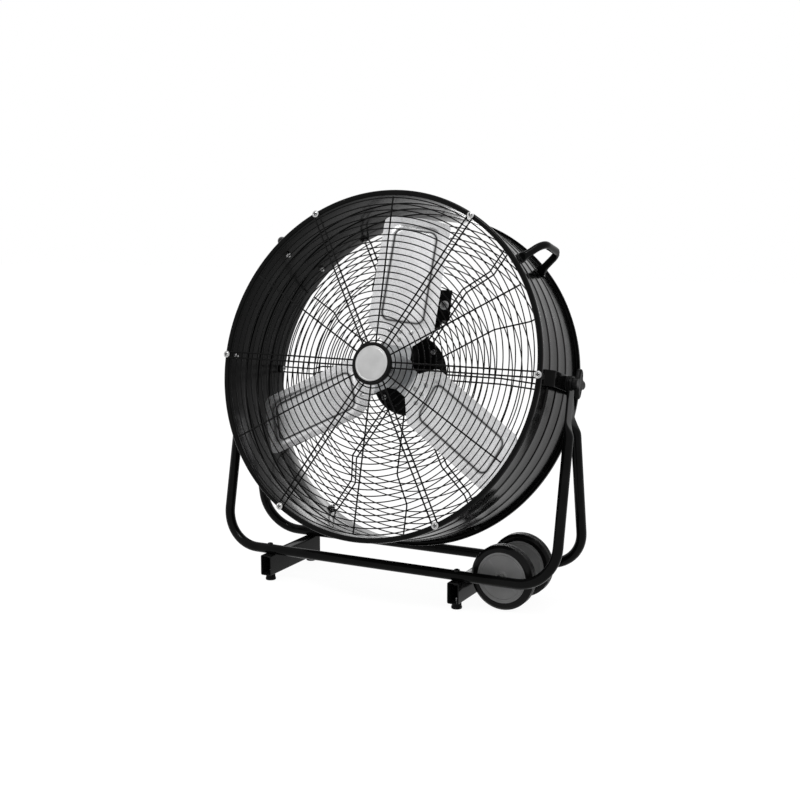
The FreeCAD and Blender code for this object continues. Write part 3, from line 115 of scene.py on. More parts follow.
def colour_from(material, source, dark, light):
    ramp = add_node(material.node_tree, "ShaderNodeValToRGB")
    for stop, place, tone in zip(ramp.color_ramp.elements, (0.35, 0.65), (dark, light)):
        stop.position = place
        stop.color = (*tone, 1)
    link(source, ramp.inputs["Fac"])
    link(ramp.outputs["Color"], shader_input(material, "Base Color"))


# %% Building blocks that set gloss, bump and wear
def spread_onto(material, title, source, low, high, start=0.0, end=1.0):
    """Sets a shader input to low where the source is at its start, and to high at its end."""
    limits = {"From Min": start, "From Max": end, "To Min": low, "To Max": high}
    spread = add_node(material.node_tree, "ShaderNodeMapRange", limits)
    link(source, spread.inputs["Value"])
    link(spread.outputs["Result"], shader_input(material, title))


def roughness_from(material, noise, low, high):
    spread_onto(material, "Roughness", noise, low, high, 0.3, 0.7)


def bump_from(material, source, depth, strength=0.5):
    """Bump of a depth in millimetres."""
    bump = add_node(material.node_tree, "ShaderNodeBump", {"Distance": depth * MM, "Strength": strength})
    link(source, bump.inputs["Height"])
    link(bump.outputs["Normal"], shader_input(material, "Normal"))


def tone_over(material, factor, tone):
    """Lays a tone over the base colour where the factor is 1."""
    target = shader_input(material, "Base Color")
    mix = add_node(material.node_tree, "ShaderNodeMix", {"B": (*tone, 1)}, data_type="RGBA")
    link(target.links[0].from_socket, mix.inputs["A"])
    link(factor, mix.inputs["Factor"])
    link(mix.outputs["Result"], target)


def worn_edges(material, bare, amount=0.2):
    """Lets a lighter tone through on the sharpest edges, broken up by noise."""
    tree = material.node_tree
    geometry = add_node(tree, "ShaderNodeNewGeometry")
    edge = add_node(tree, "ShaderNodeMapRange", {"From Min": 0.53, "From Max": 0.60, "To Max": amount})
    broken = add_node(tree, "ShaderNodeMath", operation="MULTIPLY")
    link(geometry.outputs["Pointiness"], edge.inputs["Value"])
    link(edge.outputs["Result"], broken.inputs[0])
    link(grain(material, 6), broken.inputs[1])
    tone_over(material, broken.outputs["Value"], bare)


def stored(material, name):
    """Value stored on the mesh under a name, as 0 to 1."""
    return add_node(material.node_tree, "ShaderNodeAttribute", attribute_name=name).outputs["Fac"]


# %% Powder coat on the drum, the stand and the wires
def powder_coat(name, dark, light, low, high, peel, specular):
    material = plain_finish(name, 0.0, specular)
    colour_from(material, grain(material, 40), dark, light)
    roughness_from(material, grain(material, 9), low, high)
    bump_from(material, grain(material, peel), 0.004)
    worn_edges(material, (0.04, 0.04, 0.04))
    return material


drum_paint = powder_coat("drum_powder_coat", (0.002,) * 3, (0.004,) * 3, 0.13, 0.19, 1.2, 0.2)
spread_onto(drum_paint, "Specular IOR Level", stored(drum_paint, "outside"), 0.05, 0.09)
stand_paint = powder_coat("stand_powder_coat", (0.002,) * 3, (0.004,) * 3, 0.10, 0.14, 1.0, 0.06)
wire_paint = powder_coat("wire_powder_coat", (0.002,) * 3, (0.004,) * 3, 0.34, 0.46, 0.8, 0.04)
dark_plate = powder_coat("black_plated_steel", (0.004,) * 3, (0.008,) * 3, 0.26, 0.40, 0.6, 0.08)
print("paints:", [paint.name for paint in (drum_paint, stand_paint, wire_paint, dark_plate)])


# %% Bare metals
def bare_metal(name, dark, light, low, high, size, stretch=(1, 1, 1), depth=0.02):
    material = plain_finish(name, 1.0)
    streaks = grain(material, size, 4.0, stretch)
    colour_from(material, grain(material, 25), dark, light)
    roughness_from(material, streaks, low, high)
    bump_from(material, streaks, depth, 0.25)
    return material


ROLLED = (1, 1, 0.12)
WOUND = (1, 4, 1)
GROUND = (0.2, 1, 1)
BRUSHED = (0.05, 1, 1)
blade_metal = bare_metal("rolled_aluminium", (0.74, 0.74, 0.75), (0.82, 0.82, 0.83), 0.24, 0.34, 1.2, ROLLED)
spider_metal = bare_metal("pressed_spider_plate", (0.40, 0.41, 0.42), (0.50, 0.51, 0.52), 0.32, 0.48, 2.0)
zinc = bare_metal("bright_zinc", (0.40, 0.40, 0.41), (0.54, 0.54, 0.53), 0.20, 0.36, 0.9)
ground_steel = bare_metal("ground_steel", (0.45, 0.45, 0.46), (0.60, 0.60, 0.61), 0.18, 0.34, 0.5, GROUND)
copper = bare_metal("copper_wire", (0.50, 0.20, 0.09), (0.68, 0.33, 0.16), 0.25, 0.45, 0.8, WOUND, 0.2)
badge_metal = bare_metal("brushed_badge", (0.42, 0.42, 0.42), (0.48, 0.48, 0.48), 0.40, 0.52, 0.4, BRUSHED)
# Painted shade: the crease round each blade's panel and the crossed recess of each screw head are darkened in
# the base colour, standing in for the shade that falls there.
for metal, shade in ((blade_metal, 0.01), (zinc, 0.03)):
    tone_over(metal, stored(metal, "painted_hollow_shade"), (shade, shade, shade))
    print(metal.name, "is darkened in its creases")


# %% Plastics and rubbers
def moulded(name, dark, light, low, high, size, depth, specular=0.4):
    material = plain_finish(name, 0.0, specular)
    colour_from(material, grain(material, 30), dark, light)
    roughness_from(material, grain(material, 7), low, high)
    bump_from(material, grain(material, size, 2.0), depth)
    worn_edges(material, tuple(2 * tone for tone in light))
    return material


black_plastic = moulded("black_moulding", (0.003,) * 3, (0.006,) * 3, 0.34, 0.46, 0.5, 0.01, 0.07)
wheel_plastic = moulded("grey_wheel_moulding", (0.16,) * 3, (0.185,) * 3, 0.36, 0.46, 0.6, 0.02, 0.25)
capacitor_plastic = moulded("capacitor_case", (0.42, 0.42, 0.40), (0.5, 0.5, 0.47), 0.4, 0.5, 0.5, 0.03)
tyre_rubber = moulded("tyre_rubber", (0.003,) * 3, (0.005,) * 3, 0.18, 0.25, 0.7, 0.01, 0.09)
foot_rubber = moulded("foot_rubber", (0.004,) * 3, (0.007,) * 3, 0.6, 0.78, 0.6, 0.05, 0.06)
lead_rubber = moulded("lead_sheath", (0.008,) * 3, (0.014,) * 3, 0.45, 0.6, 0.4, 0.03, 0.2)
dial_print = moulded("dial_print", (0.75,) * 3, (0.82,) * 3, 0.5, 0.6, 0.4, 0.01)

# %% The finish of each material slot
finish_of_slot = {
    "black_paint": stand_paint, "guard_wire": wire_paint, "blade_aluminium": blade_metal,
    "spider_metal": spider_metal, "zinc": zinc, "black_zinc": dark_plate, "bright_steel": ground_steel,
    "copper": copper, "badge_metal": badge_metal, "black_plastic": black_plastic,
    "capacitor_shell": capacitor_plastic, "lead_rubber": lead_rubber, "foot_rubber": foot_rubber,
    "tyre_rubber": tyre_rubber, "wheel_grey": wheel_plastic,
}
print("finishes made:", len(bpy.data.materials), "for", len(finish_of_slot), "slots")


# %% Adding pieces to the scene
def in_scene(name, data):
    """Object in the scene that holds a mesh, a lamp, a camera or a text."""
    holder = bpy.data.objects.new(name, data)
    bpy.context.scene.collection.objects.link(holder)
    return holder


def smooth(mesh, sharp_angle=35):
    """Soft shading, with every edge sharper than the angle kept crisp."""
    for face in mesh.polygons:
        face.use_smooth = True
    mesh.set_sharp_from_angle(angle=math.radians(sharp_angle))


def add_piece(name, mesh, body, slot, *nodes, finish=None):
    """Puts a finished mesh in the scene, riding on a body and standing for CAD nodes."""
    mesh.name = name
    mesh.materials.clear()
    mesh.materials.append(finish or finish_of_slot[slot])
    smooth(mesh)
    piece = in_scene(name, mesh)
    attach(piece, body)
    if nodes:
        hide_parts(*nodes)
    print(f"{name}: {len(mesh.polygons)} faces on {body}")


# %% [markdown]
# ## Turning and bending
# Three ways of making cover most of the fan. Round pieces, such as the drum, tyres and
# badge, are an outline turned about the fan's axis. Bent pieces, such as tubes and handles,
# are a section carried along a line whose corners are rounded, and the section may change
# on the way, because a real stand tube is pressed flat where it is bolted. Repeated pieces
# come from Geometry Nodes further below.


# %% Skins over loops of points
def skin(builder, loops, closed=False, capped=False):
    """Faces from each loop of points to the next; a loop of one point gives triangles."""
    following_loops = loops[1:] + loops[:1] if closed else loops[1:]
    for loop, following in zip(loops, following_loops):
        for side in range(max(len(loop), len(following))):
            after = side + 1
            corners = [loop[side % len(loop)], loop[after % len(loop)]]
            corners += [following[after % len(following)], following[side % len(following)]]
            different = list(dict.fromkeys(corners))
            if len(different) > 2:
                builder.faces.new(different)
    if capped:
        builder.faces.new(loops[0])
        builder.faces.new(loops[-1])


def to_mesh(builder, place):
    """Merges double points, turns the faces outward and moves the mesh to its place."""
    bmesh.ops.remove_doubles(builder, verts=builder.verts, dist=1e-5)
    bmesh.ops.recalc_face_normals(builder, faces=builder.faces)
    mesh = bpy.data.meshes.new("piece")
    builder.to_mesh(mesh)
    builder.free()
    mesh.transform(place)
    return mesh


def skin_mesh(loops, place, closed=False, capped=False):
    """Mesh of a skin over loops of plain points."""
    builder = bmesh.new()
    points = [[builder.verts.new(point) for point in loop] for loop in loops]
    skin(builder, points, closed, capped)
    return to_mesh(builder, place)


def joined(meshes, place=Matrix.Identity(4)):
    """One mesh of several, moved to its place."""
    builder = bmesh.new()
    for mesh in meshes:
        builder.from_mesh(mesh)
    mesh = bpy.data.meshes.new("joined")
    builder.to_mesh(mesh)
    builder.free()
    mesh.transform(place)
    return mesh


# %% Lines and angles
def rounded_line(points, bends, closed=False, steps=8):
    """Points along straight runs, with an arc of each bend radius in place of each corner."""
    points = [Vector(point) for point in points]
    last = len(points) - 1
    line = []
    for index, corner in enumerate(points):
        bend = bends[index]
        if bend == 0 or (not closed and index in (0, last)):
            line.append(corner)
            continue
        into = (corner - points[index - 1]).normalized()
        out = (points[(index + 1) % len(points)] - corner).normalized()
        turn = into.angle(out)
        centre = corner + (out - into).normalized() * (bend / math.cos(turn / 2))
        arm = corner - into * (bend * math.tan(turn / 2)) - centre
        for step in range(steps + 1):
            share = turn * step / steps
            line.append(centre + arm * math.cos(share) + into * (bend * math.sin(share)))
    return line


def mirrored(outline):
    """The outline's other half: the same points backwards, with the second number negated."""
    return [(across, -along) for across, along in reversed(outline)]


def polar(radius, angle, along=0.0, side=0.0):
    """Point on the drum at a radius and an angle in degrees, side along the tangent."""
    turn = math.radians(angle)
    x = radius * math.cos(turn) - side * math.sin(turn)
    return Vector((x, along, radius * math.sin(turn) + side * math.cos(turn)))


def round_shares(sides):
    """Angles that share out a full turn."""
    return [2 * math.pi * side / sides for side in range(sides)]


def eased(share):
    """Slow start and slow end between 0 and 1."""
    share = min(max(share, 0.0), 1.0)
    return share * share * (3 - 2 * share)


# %% Turned pieces
ON_AXIS = 1e-4


def turned(outline, place, sides=96):
    """Outline of radius and place along Y, turned about the Y axis into a closed skin."""
    rings = []
    for radius, along in outline:
        turns = [0.0] if radius < ON_AXIS else round_shares(sides)
        rings.append([(radius * math.cos(turn), along, radius * math.sin(turn)) for turn in turns])
    return skin_mesh(rings, place, closed=True)


def add_turned(name, outline, bends, body, slot, node, place=ON_DRUM, steps=4, sides=96):
    """Adds a piece turned from an outline whose corners are rounded by the bends."""
    line = rounded_line(outline, bends, closed=True, steps=steps)
    add_piece(name, turned(line, place, sides), body, slot, node)


# %% Pressed tubes
def pressed_tube(stations, place, sides=32):
    """Skin over stations of (centre, width direction, half width, half thickness, squareness).

    Squareness 2 is a round section, and larger values press it towards a flat bar.
    """
    loops = []
    centres = [Vector(station[0]) for station in stations]
    for index, station in enumerate(stations):
        wide, half_width, half_thick, square = station[1:]
        ahead = centres[min(index + 1, len(centres) - 1)] - centres[max(index - 1, 0)]
        wide = Vector(wide).normalized()
        thick = ahead.cross(wide).normalized()
        loop = []
        for turn in round_shares(sides):
            across = math.copysign(abs(math.cos(turn)) ** (2 / square), math.cos(turn)) * half_width
            through = math.copysign(abs(math.sin(turn)) ** (2 / square), math.sin(turn)) * half_thick
            loop.append(centres[index] + wide * across + thick * through)
        loops.append(loop)
    return skin_mesh(loops, place, capped=True)


# %% [markdown]
# ## The drum
# The drum is one rolled sheet with three swaged beads that stiffen it, and rims that are
# turned out and back into a lip. Turning one closed outline gives both faces of the sheet,
# so the beads show inside and outside, as they do on the real drum. A value stored on the
# faces tells the finish which side is which: the outside is glossier than the inside.

# %% Drum shell
DRUM_HALF = 103.5
WALL_RADIUS = 313.0
SHEET = 1.5
RIM_RADIUS = 323.0
RIM_LIP = 8.0
RIM_ROUND = 3.0
LIP_ROUND = 0.6
BEAD_RISE = 1.5
BEAD_HALF = 5.0
BEAD_PITCH = 42.0


def drum_outline():
    inner = []
    for place in (-BEAD_PITCH, 0, BEAD_PITCH):
        inner += [(WALL_RADIUS, place - BEAD_HALF), (WALL_RADIUS + BEAD_RISE, place - BEAD_HALF / 2)]
        inner += [(WALL_RADIUS + BEAD_RISE, place + BEAD_HALF / 2), (WALL_RADIUS, place + BEAD_HALF)]
    outer = [(radius + SHEET, along) for radius, along in reversed(inner)]
    rim = [(WALL_RADIUS, DRUM_HALF), (RIM_RADIUS, DRUM_HALF), (RIM_RADIUS, DRUM_HALF - RIM_LIP)]
    rim += [(RIM_RADIUS - SHEET, DRUM_HALF - RIM_LIP), (RIM_RADIUS - SHEET, DRUM_HALF - SHEET)]
    rim += [(WALL_RADIUS + SHEET, DRUM_HALF - SHEET)]
    inside_bend = RIM_ROUND - SHEET
    rim_bends = [RIM_ROUND, RIM_ROUND, LIP_ROUND, LIP_ROUND, inside_bend, inside_bend]
    bead_bends = [SHEET] * len(inner)
    bends = bead_bends + rim_bends + bead_bends + rim_bends[::-1]
    return rounded_line(inner + rim + outer + mirrored(rim), bends, closed=True, steps=4)


def mark_outside(mesh):
    """Stores 1 on the faces that look away from the axis, where the coat is glossier."""
    upright = ON_DRUM.inverted()
    mark = mesh.attributes.new("outside", "FLOAT", "FACE")
    for face, item in zip(mesh.polygons, mark.data):
        middle = upright @ face.center
        outward = Vector((middle.x, 0, middle.z)).normalized()
        facing = (upright.to_3x3() @ face.normal).normalized()
        item.value = float(facing.dot(outward) > 0.3)


drum_mesh = turned(drum_outline(), ON_DRUM, 224)
mark_outside(drum_mesh)
add_piece("drum", drum_mesh, "drum", "black_paint", "drum_shell", finish=drum_paint)

# %% [markdown]
# ## Geometry Nodes for what repeats
# The guards are made of a few bent wires, repeated round the axis, and of many rings that
# differ only in radius. Screws and rivets are one small shape set on many seats. Three node
# trees cover this: one bends a line into wire and repeats it round the fan's axis, one draws
# a ring through each seed point, and one stands a fastener on each seed point.


# %% Running a tree
def new_tree(name, settings):
    """Tree that takes a mesh and named settings; returns it with its inputs and its output."""
    tree = bpy.data.node_groups.new(name, "GeometryNodeTree")
    tree.is_modifier = True
    for title, kind in {"Geometry": "Geometry", **settings}.items():
        tree.interface.new_socket(title, in_out="INPUT", socket_type="NodeSocket" + kind)
    tree.interface.new_socket("Geometry", in_out="OUTPUT", socket_type="NodeSocketGeometry")
    given = add_node(tree, "NodeGroupInput").outputs
    return tree, given, add_node(tree, "NodeGroupOutput").inputs["Geometry"]


def as_mesh(holder):
    """Plain mesh of what an object shows; the object itself is removed."""
    depsgraph = bpy.context.evaluated_depsgraph_get()
    mesh = bpy.data.meshes.new_from_object(holder.evaluated_get(depsgraph))
    bpy.data.objects.remove(holder)
    return mesh


def grown(seed, tree, settings):
    """Runs a tree on a seed mesh and returns the result as a plain mesh."""
    holder = in_scene("seed", seed)
    modifier = holder.modifiers.new("Grow", "NODES")
    modifier.node_group = tree
    for item in tree.interface.items_tree:
        if item.in_out == "INPUT" and item.name in settings:
            modifier[item.identifier] = settings[item.name]
    return as_mesh(holder)


# %% Seeds for the trees
def seed_line(points):
    """Mesh of one open line."""
    mesh = bpy.data.meshes.new("line")
    edges = [(index, index + 1) for index in range(len(points) - 1)]
    mesh.from_pydata([tuple(point) for point in points], edges, [])
    return mesh


def seed_points(points, name, kind, values):
    """Mesh of loose points, with a named value stored on each."""
    mesh = bpy.data.meshes.new("points")
    mesh.from_pydata([tuple(point) for point in points], [], [])
    store = mesh.attributes.new(name, kind, "POINT")
    for item, value in zip(store.data, values):
        setattr(item, "vector" if kind == "FLOAT_VECTOR" else "value", value)
    return mesh


# %% Tree: wire bent along a line and repeated round the axis
def make_wire_tree():
    settings = {"Bend": "Float", "Wire Radius": "Float", "Sides": "Int", "Copies": "Int"}
    tree, given, result = new_tree("bent_wire", settings)
    to_curve = add_node(tree, "GeometryNodeMeshToCurve")
    fillet = add_node(tree, "GeometryNodeFilletCurve", {"Count": 7, "Limit Radius": True}, mode="POLY")
    section = add_node(tree, "GeometryNodeCurvePrimitiveCircle")
    sweep = add_node(tree, "GeometryNodeCurveToMesh", {"Fill Caps": True})
    seats = add_node(tree, "GeometryNodeMeshLine", {"Offset": (0, 0, 0)})
    repeat = add_node(tree, "GeometryNodeInstanceOnPoints")
    index = add_node(tree, "GeometryNodeInputIndex")
    step = add_node(tree, "ShaderNodeMath", {0: 2 * math.pi}, operation="DIVIDE")
    turn = add_node(tree, "ShaderNodeMath", operation="MULTIPLY")
    about = add_node(tree, "ShaderNodeCombineXYZ")
    euler = add_node(tree, "FunctionNodeEulerToRotation")
    solid = add_node(tree, "GeometryNodeRealizeInstances")
    link(given["Geometry"], to_curve.inputs["Mesh"])
    link(to_curve.outputs["Curve"], fillet.inputs["Curve"])
    link(given["Bend"], fillet.inputs["Radius"])
    link(given["Sides"], section.inputs["Resolution"])
    link(given["Wire Radius"], section.inputs["Radius"])
    link(fillet.outputs["Curve"], sweep.inputs["Curve"])
    link(section.outputs["Curve"], sweep.inputs["Profile Curve"])
    link(given["Copies"], seats.inputs["Count"])
    link(seats.outputs["Mesh"], repeat.inputs["Points"])
    link(sweep.outputs["Mesh"], repeat.inputs["Instance"])
    link(given["Copies"], step.inputs[1])
    link(index.outputs["Index"], turn.inputs[0])
    link(step.outputs["Value"], turn.inputs[1])
    link(turn.outputs["Value"], about.inputs["Y"])
    link(about.outputs["Vector"], euler.inputs["Euler"])
    link(euler.outputs["Rotation"], repeat.inputs["Rotation"])
    link(repeat.outputs["Instances"], solid.inputs["Geometry"])
    link(solid.outputs["Geometry"], result)
    return tree


wire_tree = make_wire_tree()
print("wire tree nodes:", len(wire_tree.nodes))


# %% Tree: a ring of wire through each seed point
def make_ring_tree():
    tree, given, result = new_tree("guard_rings", {"Wire Radius": "Float", "Sides": "Int", "Turns": "Int"})
    radius = add_node(tree, "GeometryNodeInputNamedAttribute", {"Name": "ring_radius"}, data_type="FLOAT")
    circle = add_node(tree, "GeometryNodeCurvePrimitiveCircle", {"Radius": 1})
    upright = add_node(tree, "GeometryNodeTransform", {"Rotation": (math.pi / 2, 0, 0)})
    rings = add_node(tree, "GeometryNodeInstanceOnPoints")
    solid = add_node(tree, "GeometryNodeRealizeInstances")
    section = add_node(tree, "GeometryNodeCurvePrimitiveCircle")
    sweep = add_node(tree, "GeometryNodeCurveToMesh")
    link(given["Turns"], circle.inputs["Resolution"])
    link(circle.outputs["Curve"], upright.inputs["Geometry"])
    link(given["Geometry"], rings.inputs["Points"])
    link(upright.outputs["Geometry"], rings.inputs["Instance"])
    link(radius.outputs["Attribute"], rings.inputs["Scale"])
    link(rings.outputs["Instances"], solid.inputs["Geometry"])
    link(given["Wire Radius"], section.inputs["Radius"])
    link(given["Sides"], section.inputs["Resolution"])
    link(solid.outputs["Geometry"], sweep.inputs["Curve"])
    link(section.outputs["Curve"], sweep.inputs["Profile Curve"])
    link(sweep.outputs["Mesh"], result)
    return tree


ring_tree = make_ring_tree()
print("ring tree nodes:", len(ring_tree.nodes))


# %% Tree: a fastener on each seed point, along its axis
def make_fastener_tree():
    tree, given, result = new_tree("fasteners", {"Fastener": "Object"})
    axis = add_node(tree, "GeometryNodeInputNamedAttribute", {"Name": "axis"}, data_type="FLOAT_VECTOR")
    aim = add_node(tree, "FunctionNodeAlignRotationToVector", axis="Z")
    shape = add_node(tree, "GeometryNodeObjectInfo")
    stand = add_node(tree, "GeometryNodeInstanceOnPoints")
    solid = add_node(tree, "GeometryNodeRealizeInstances")
    link(given["Fastener"], shape.inputs["Object"])
    link(axis.outputs["Attribute"], aim.inputs["Vector"])
    link(given["Geometry"], stand.inputs["Points"])
    link(shape.outputs["Geometry"], stand.inputs["Instance"])
    link(aim.outputs["Rotation"], stand.inputs["Rotation"])
    link(stand.outputs["Instances"], solid.inputs["Geometry"])
    link(solid.outputs["Geometry"], result)
    return tree


fastener_tree = make_fastener_tree()
print("fastener tree nodes:", len(fastener_tree.nodes))

# %% [markdown]
# ## The wire guards
# The front guard is flat: rings behind six hairpins, whose closed ends go round the guard's
# screws, and six single spokes between them. The rear guard is sunk in the middle to carry
# the motor, and its hairpins turn forward along the drum's wall.

# %% Front guard
RING_WIRE = 1.1
SPOKE_WIRE = 1.5
RING_PITCH = 11.5
SPOKE_COUNT = 6
SINGLE_ANGLE = 30
HAIRPIN_HALF = 5.25
SCREW_CIRCLE = 318.0
FRONT_BOW_END = SCREW_CIRCLE + 4.5
FRONT_SPOKES = -DRUM_HALF - SPOKE_WIRE
FRONT_RINGS = FRONT_SPOKES + RING_WIRE + SPOKE_WIRE
FRONT_RING_OUTER = 308.0
FRONT_RING_COUNT = 25
SPOKE_INNER_END = 30.0


def wires(line, bend, copies=SPOKE_COUNT, radius=SPOKE_WIRE):
    settings = {"Bend": bend, "Wire Radius": radius, "Sides": 12, "Copies": copies}
    return grown(seed_line(line), wire_tree, settings)


def rings(places):
    """Rings given as radius and place along the axis."""
    middles = [(0, along, 0) for radius, along in places]
    seed = seed_points(middles, "ring_radius", "FLOAT", [radius for radius, along in places])
    return grown(seed, ring_tree, {"Wire Radius": RING_WIRE, "Sides": 10, "Turns": 168})


def hairpin(outline):
    """There and back along an outline of radius and place along the axis."""
    out = [Vector((radius, along, HAIRPIN_HALF)) for radius, along in outline]
    return out + [Vector((radius, along, -HAIRPIN_HALF)) for radius, along in reversed(outline)]


def single(outline):
    return [polar(radius, SINGLE_ANGLE, along) for radius, along in outline]


front_start = (SPOKE_INNER_END, FRONT_SPOKES)
front_pins = wires(hairpin([front_start, (FRONT_BOW_END, FRONT_SPOKES)]), HAIRPIN_HALF)
front_singles = wires(single([front_start, (FRONT_RING_OUTER + RING_WIRE, FRONT_SPOKES)]), 0)
front_rings = [(FRONT_RING_OUTER - RING_PITCH * index, FRONT_RINGS) for index in range(FRONT_RING_COUNT)]
front_guard = joined([front_pins, front_singles, rings(front_rings)], ON_DRUM)
add_piece("front_wire_guard", front_guard, "drum", "guard_wire", "front_guard")

# %% Rear guard
WIRE_LIFT = RING_WIRE + SPOKE_WIRE
REAR_RINGS = DRUM_HALF - 5.5
RECESS_RINGS = REAR_RINGS - 58.0
RECESS_RADIUS = 191.0
STEP_RADIUS = 246.0
REAR_RING_OUTER = 304.0
REAR_RING_INNER = 74.5
REAR_SPOKE_END = 62.0
RECESS_RING_COUNT = 10
RIM_RING_COUNT = 5
REAR_BEND = 12.0
WALL_BOLT = DRUM_HALF - 17.5
REAR_BOW_END = WALL_BOLT - 9.25
rear_low = RECESS_RINGS + WIRE_LIFT
rear_high = REAR_RINGS + WIRE_LIFT
WALL_GAP = 0.3
against_wall = WALL_RADIUS - SPOKE_WIRE - WALL_GAP
step_run = STEP_RADIUS - RECESS_RADIUS
step_rise = REAR_RINGS - RECESS_RINGS
step_slope = math.hypot(step_run, step_rise)

rear_rise = [(REAR_SPOKE_END, rear_low), (RECESS_RADIUS, rear_low), (STEP_RADIUS, rear_high)]
rear_wall = [(against_wall, rear_high), (against_wall, REAR_BOW_END)]
rear_pins = wires(hairpin(rear_rise + rear_wall), HAIRPIN_HALF)
rear_singles = wires(single(rear_rise + [(REAR_RING_OUTER + RING_WIRE, rear_high)]), REAR_BEND)
rear_rings = [(REAR_RING_INNER + RING_PITCH * index, RECESS_RINGS) for index in range(RECESS_RING_COUNT)]
for quarter in (0.25, 0.5, 0.75):
    ring_radius = RECESS_RADIUS + quarter * step_run + WIRE_LIFT * step_rise / step_slope
    rear_rings.append((ring_radius, rear_low + quarter * step_rise - WIRE_LIFT * step_run / step_slope))
rear_rings += [(REAR_RING_OUTER - RING_PITCH * index, REAR_RINGS) for index in range(RIM_RING_COUNT)]
rear_guard = joined([rear_pins, rear_singles, rings(rear_rings)], ON_DRUM)
add_piece("rear_wire_guard", rear_guard, "drum", "guard_wire", "rear_guard")

# %% [markdown]
# ## The badge
# A round cap covers the spokes' inner ends. On the real fan it is a black cup with a metal
# disc sunk into it. The disc is left bare, with a shallow dome and a brushed face.

# %% Badge cup and disc
BADGE_BACK = -DRUM_HALF - 2 * SPOKE_WIRE
BADGE_FRONT = BADGE_BACK - 8.0
BADGE_RADIUS = 39.0
DISC_RADIUS = 32.5
cup_bore = DISC_RADIUS + 0.1
cup = [(0, BADGE_BACK), (BADGE_RADIUS, BADGE_BACK), (BADGE_RADIUS, BADGE_FRONT)]
cup += [(cup_bore, BADGE_FRONT), (cup_bore, BADGE_FRONT + 2), (0, BADGE_FRONT + 2)]
cup_bends = [0, 1, 2, 0.8, 0.2, 0]
add_turned("badge_holder", cup, cup_bends, "drum", "black_plastic", "badge_cup", steps=5)
disc = [(0, BADGE_FRONT + 1.9), (DISC_RADIUS, BADGE_FRONT + 1.9), (DISC_RADIUS, BADGE_FRONT + 0.8)]
disc += [(DISC_RADIUS - 2.4, BADGE_FRONT + 0.5), (DISC_RADIUS - 3.2, BADGE_FRONT + 0.9)]
disc += [(DISC_RADIUS - 4.0, BADGE_FRONT + 0.5), (DISC_RADIUS / 2, BADGE_FRONT + 0.1), (0, BADGE_FRONT)]
disc_bends = [0, 0.3, 0.4, 0.6, 0.4, 0.6, 30, 0]
add_turned("badge_plate", disc, disc_bends, "drum", "badge_metal", "badge_disc", steps=5)

# %% [markdown]
# ## The blades
# Each blade is pressed from aluminium sheet. It starts narrow on the spider's arm, widens at
# once to its full chord, is cambered across, and has a raised panel that stiffens it. The
# panel is real geometry: a height added to the sheet inside a rounded rectangle, with a
# sloping flank outside it and a crease between the two. How deep a point lies in the crease
# is stored on the mesh, and the finish paints shade there: a painted dark line in the crease.

# %% Blade sizes
BLADE_ROOT = 46.0
BLADE_TIP = 290.0
BLADE_SHEET = 1.6
BLADE_CAMBER = 390.0
ROOT_HALF = 24.0
CHORD_HALF = 63.5
SHOULDER = 80.0
SHOULDER_ROUND = 16.0
PANEL_START = 92.0
PANEL_END = 265.0
PANEL_HALF = 40.0
PANEL_CORNER = 14.0
PANEL_RISE = 1.6
PANEL_SLOPE = 12.0
BACK_RISE = 0.5
CREASE_DEPTH = 0.6
CREASE_HALF = 2.5
EDGE_ROUND = 10.0
SPAN_STEPS = 200
CHORD_STEPS = 120
side_points = [(BLADE_ROOT, ROOT_HALF), (SHOULDER, CHORD_HALF), (BLADE_TIP, CHORD_HALF)]
side_line = rounded_line(side_points, [0, SHOULDER_ROUND, 0], steps=12)
print("blade span", BLADE_TIP - BLADE_ROOT, "mm, chord", 2 * CHORD_HALF, "mm")


# %% Blade shape
def half_chord(x):
    for start, end in zip(side_line, side_line[1:]):
        if x <= end.x:
            return start.y + (end.y - start.y) * (x - start.x) / (end.x - start.x)
    return CHORD_HALF


def from_panel(x, y):
    """Distance of a point from the panel's rounded outline, negative inside it."""
    reach_x = abs(x - (PANEL_START + PANEL_END) / 2) - (PANEL_END - PANEL_START) / 2 + PANEL_CORNER
    reach_y = abs(y) - PANEL_HALF + PANEL_CORNER
    return math.hypot(max(reach_x, 0), max(reach_y, 0)) + min(max(reach_x, reach_y), 0) - PANEL_CORNER


def blade_point(along, across):
    """Point on the blade's front face for shares of its span and of its chord."""
    reach = math.sqrt(BLADE_TIP ** 2 - (across * CHORD_HALF) ** 2)
    x = BLADE_ROOT + along * (reach - BLADE_ROOT)
    y = across * half_chord(x)
    corner = max(0.0, abs(y) - (CHORD_HALF - EDGE_ROUND)) / EDGE_ROUND
    x -= along ** 12 * (1 - math.sqrt(max(0.0, 1 - corner ** 2))) * EDGE_ROUND
    return x, y, BLADE_CAMBER - math.sqrt(BLADE_CAMBER ** 2 - y * y)


def blade_mesh(place):
    builder = bmesh.new()
    painted_hollow_shade = builder.verts.layers.float.new("painted_hollow_shade")
    loops = []
    for row in range(SPAN_STEPS + 1):
        front = []
        back = []
        for column in range(CHORD_STEPS + 1):
            x, y, z = blade_point(row / SPAN_STEPS, 2 * column / CHORD_STEPS - 1)
            outside = from_panel(x, y)
            fold = math.exp(-(outside / CREASE_HALF) ** 2)
            lift = PANEL_RISE * (1 - eased(outside / PANEL_SLOPE)) - CREASE_DEPTH * fold
            front.append(builder.verts.new((x, y, z + lift)))
            # How deep the point lies in the crease is stored as well, and the finish paints shade there.
            front[-1][painted_hollow_shade] = fold
            back.append(builder.verts.new((x, y, z + min(lift, BACK_RISE) - BLADE_SHEET)))
        loops.append(front + back[::-1])
    skin(builder, loops)
    for loop in (loops[0], loops[-1]):
        for column in range(CHORD_STEPS):
            builder.faces.new((loop[column], loop[column + 1], loop[-2 - column], loop[-1 - column]))
    return to_mesh(builder, place)


# %% The three blades
BLADE_COUNT = 3
BLADE_ANGLE = 86.8
BLADE_PITCH = math.radians(15.8)
HUB_PLANE = -21.3


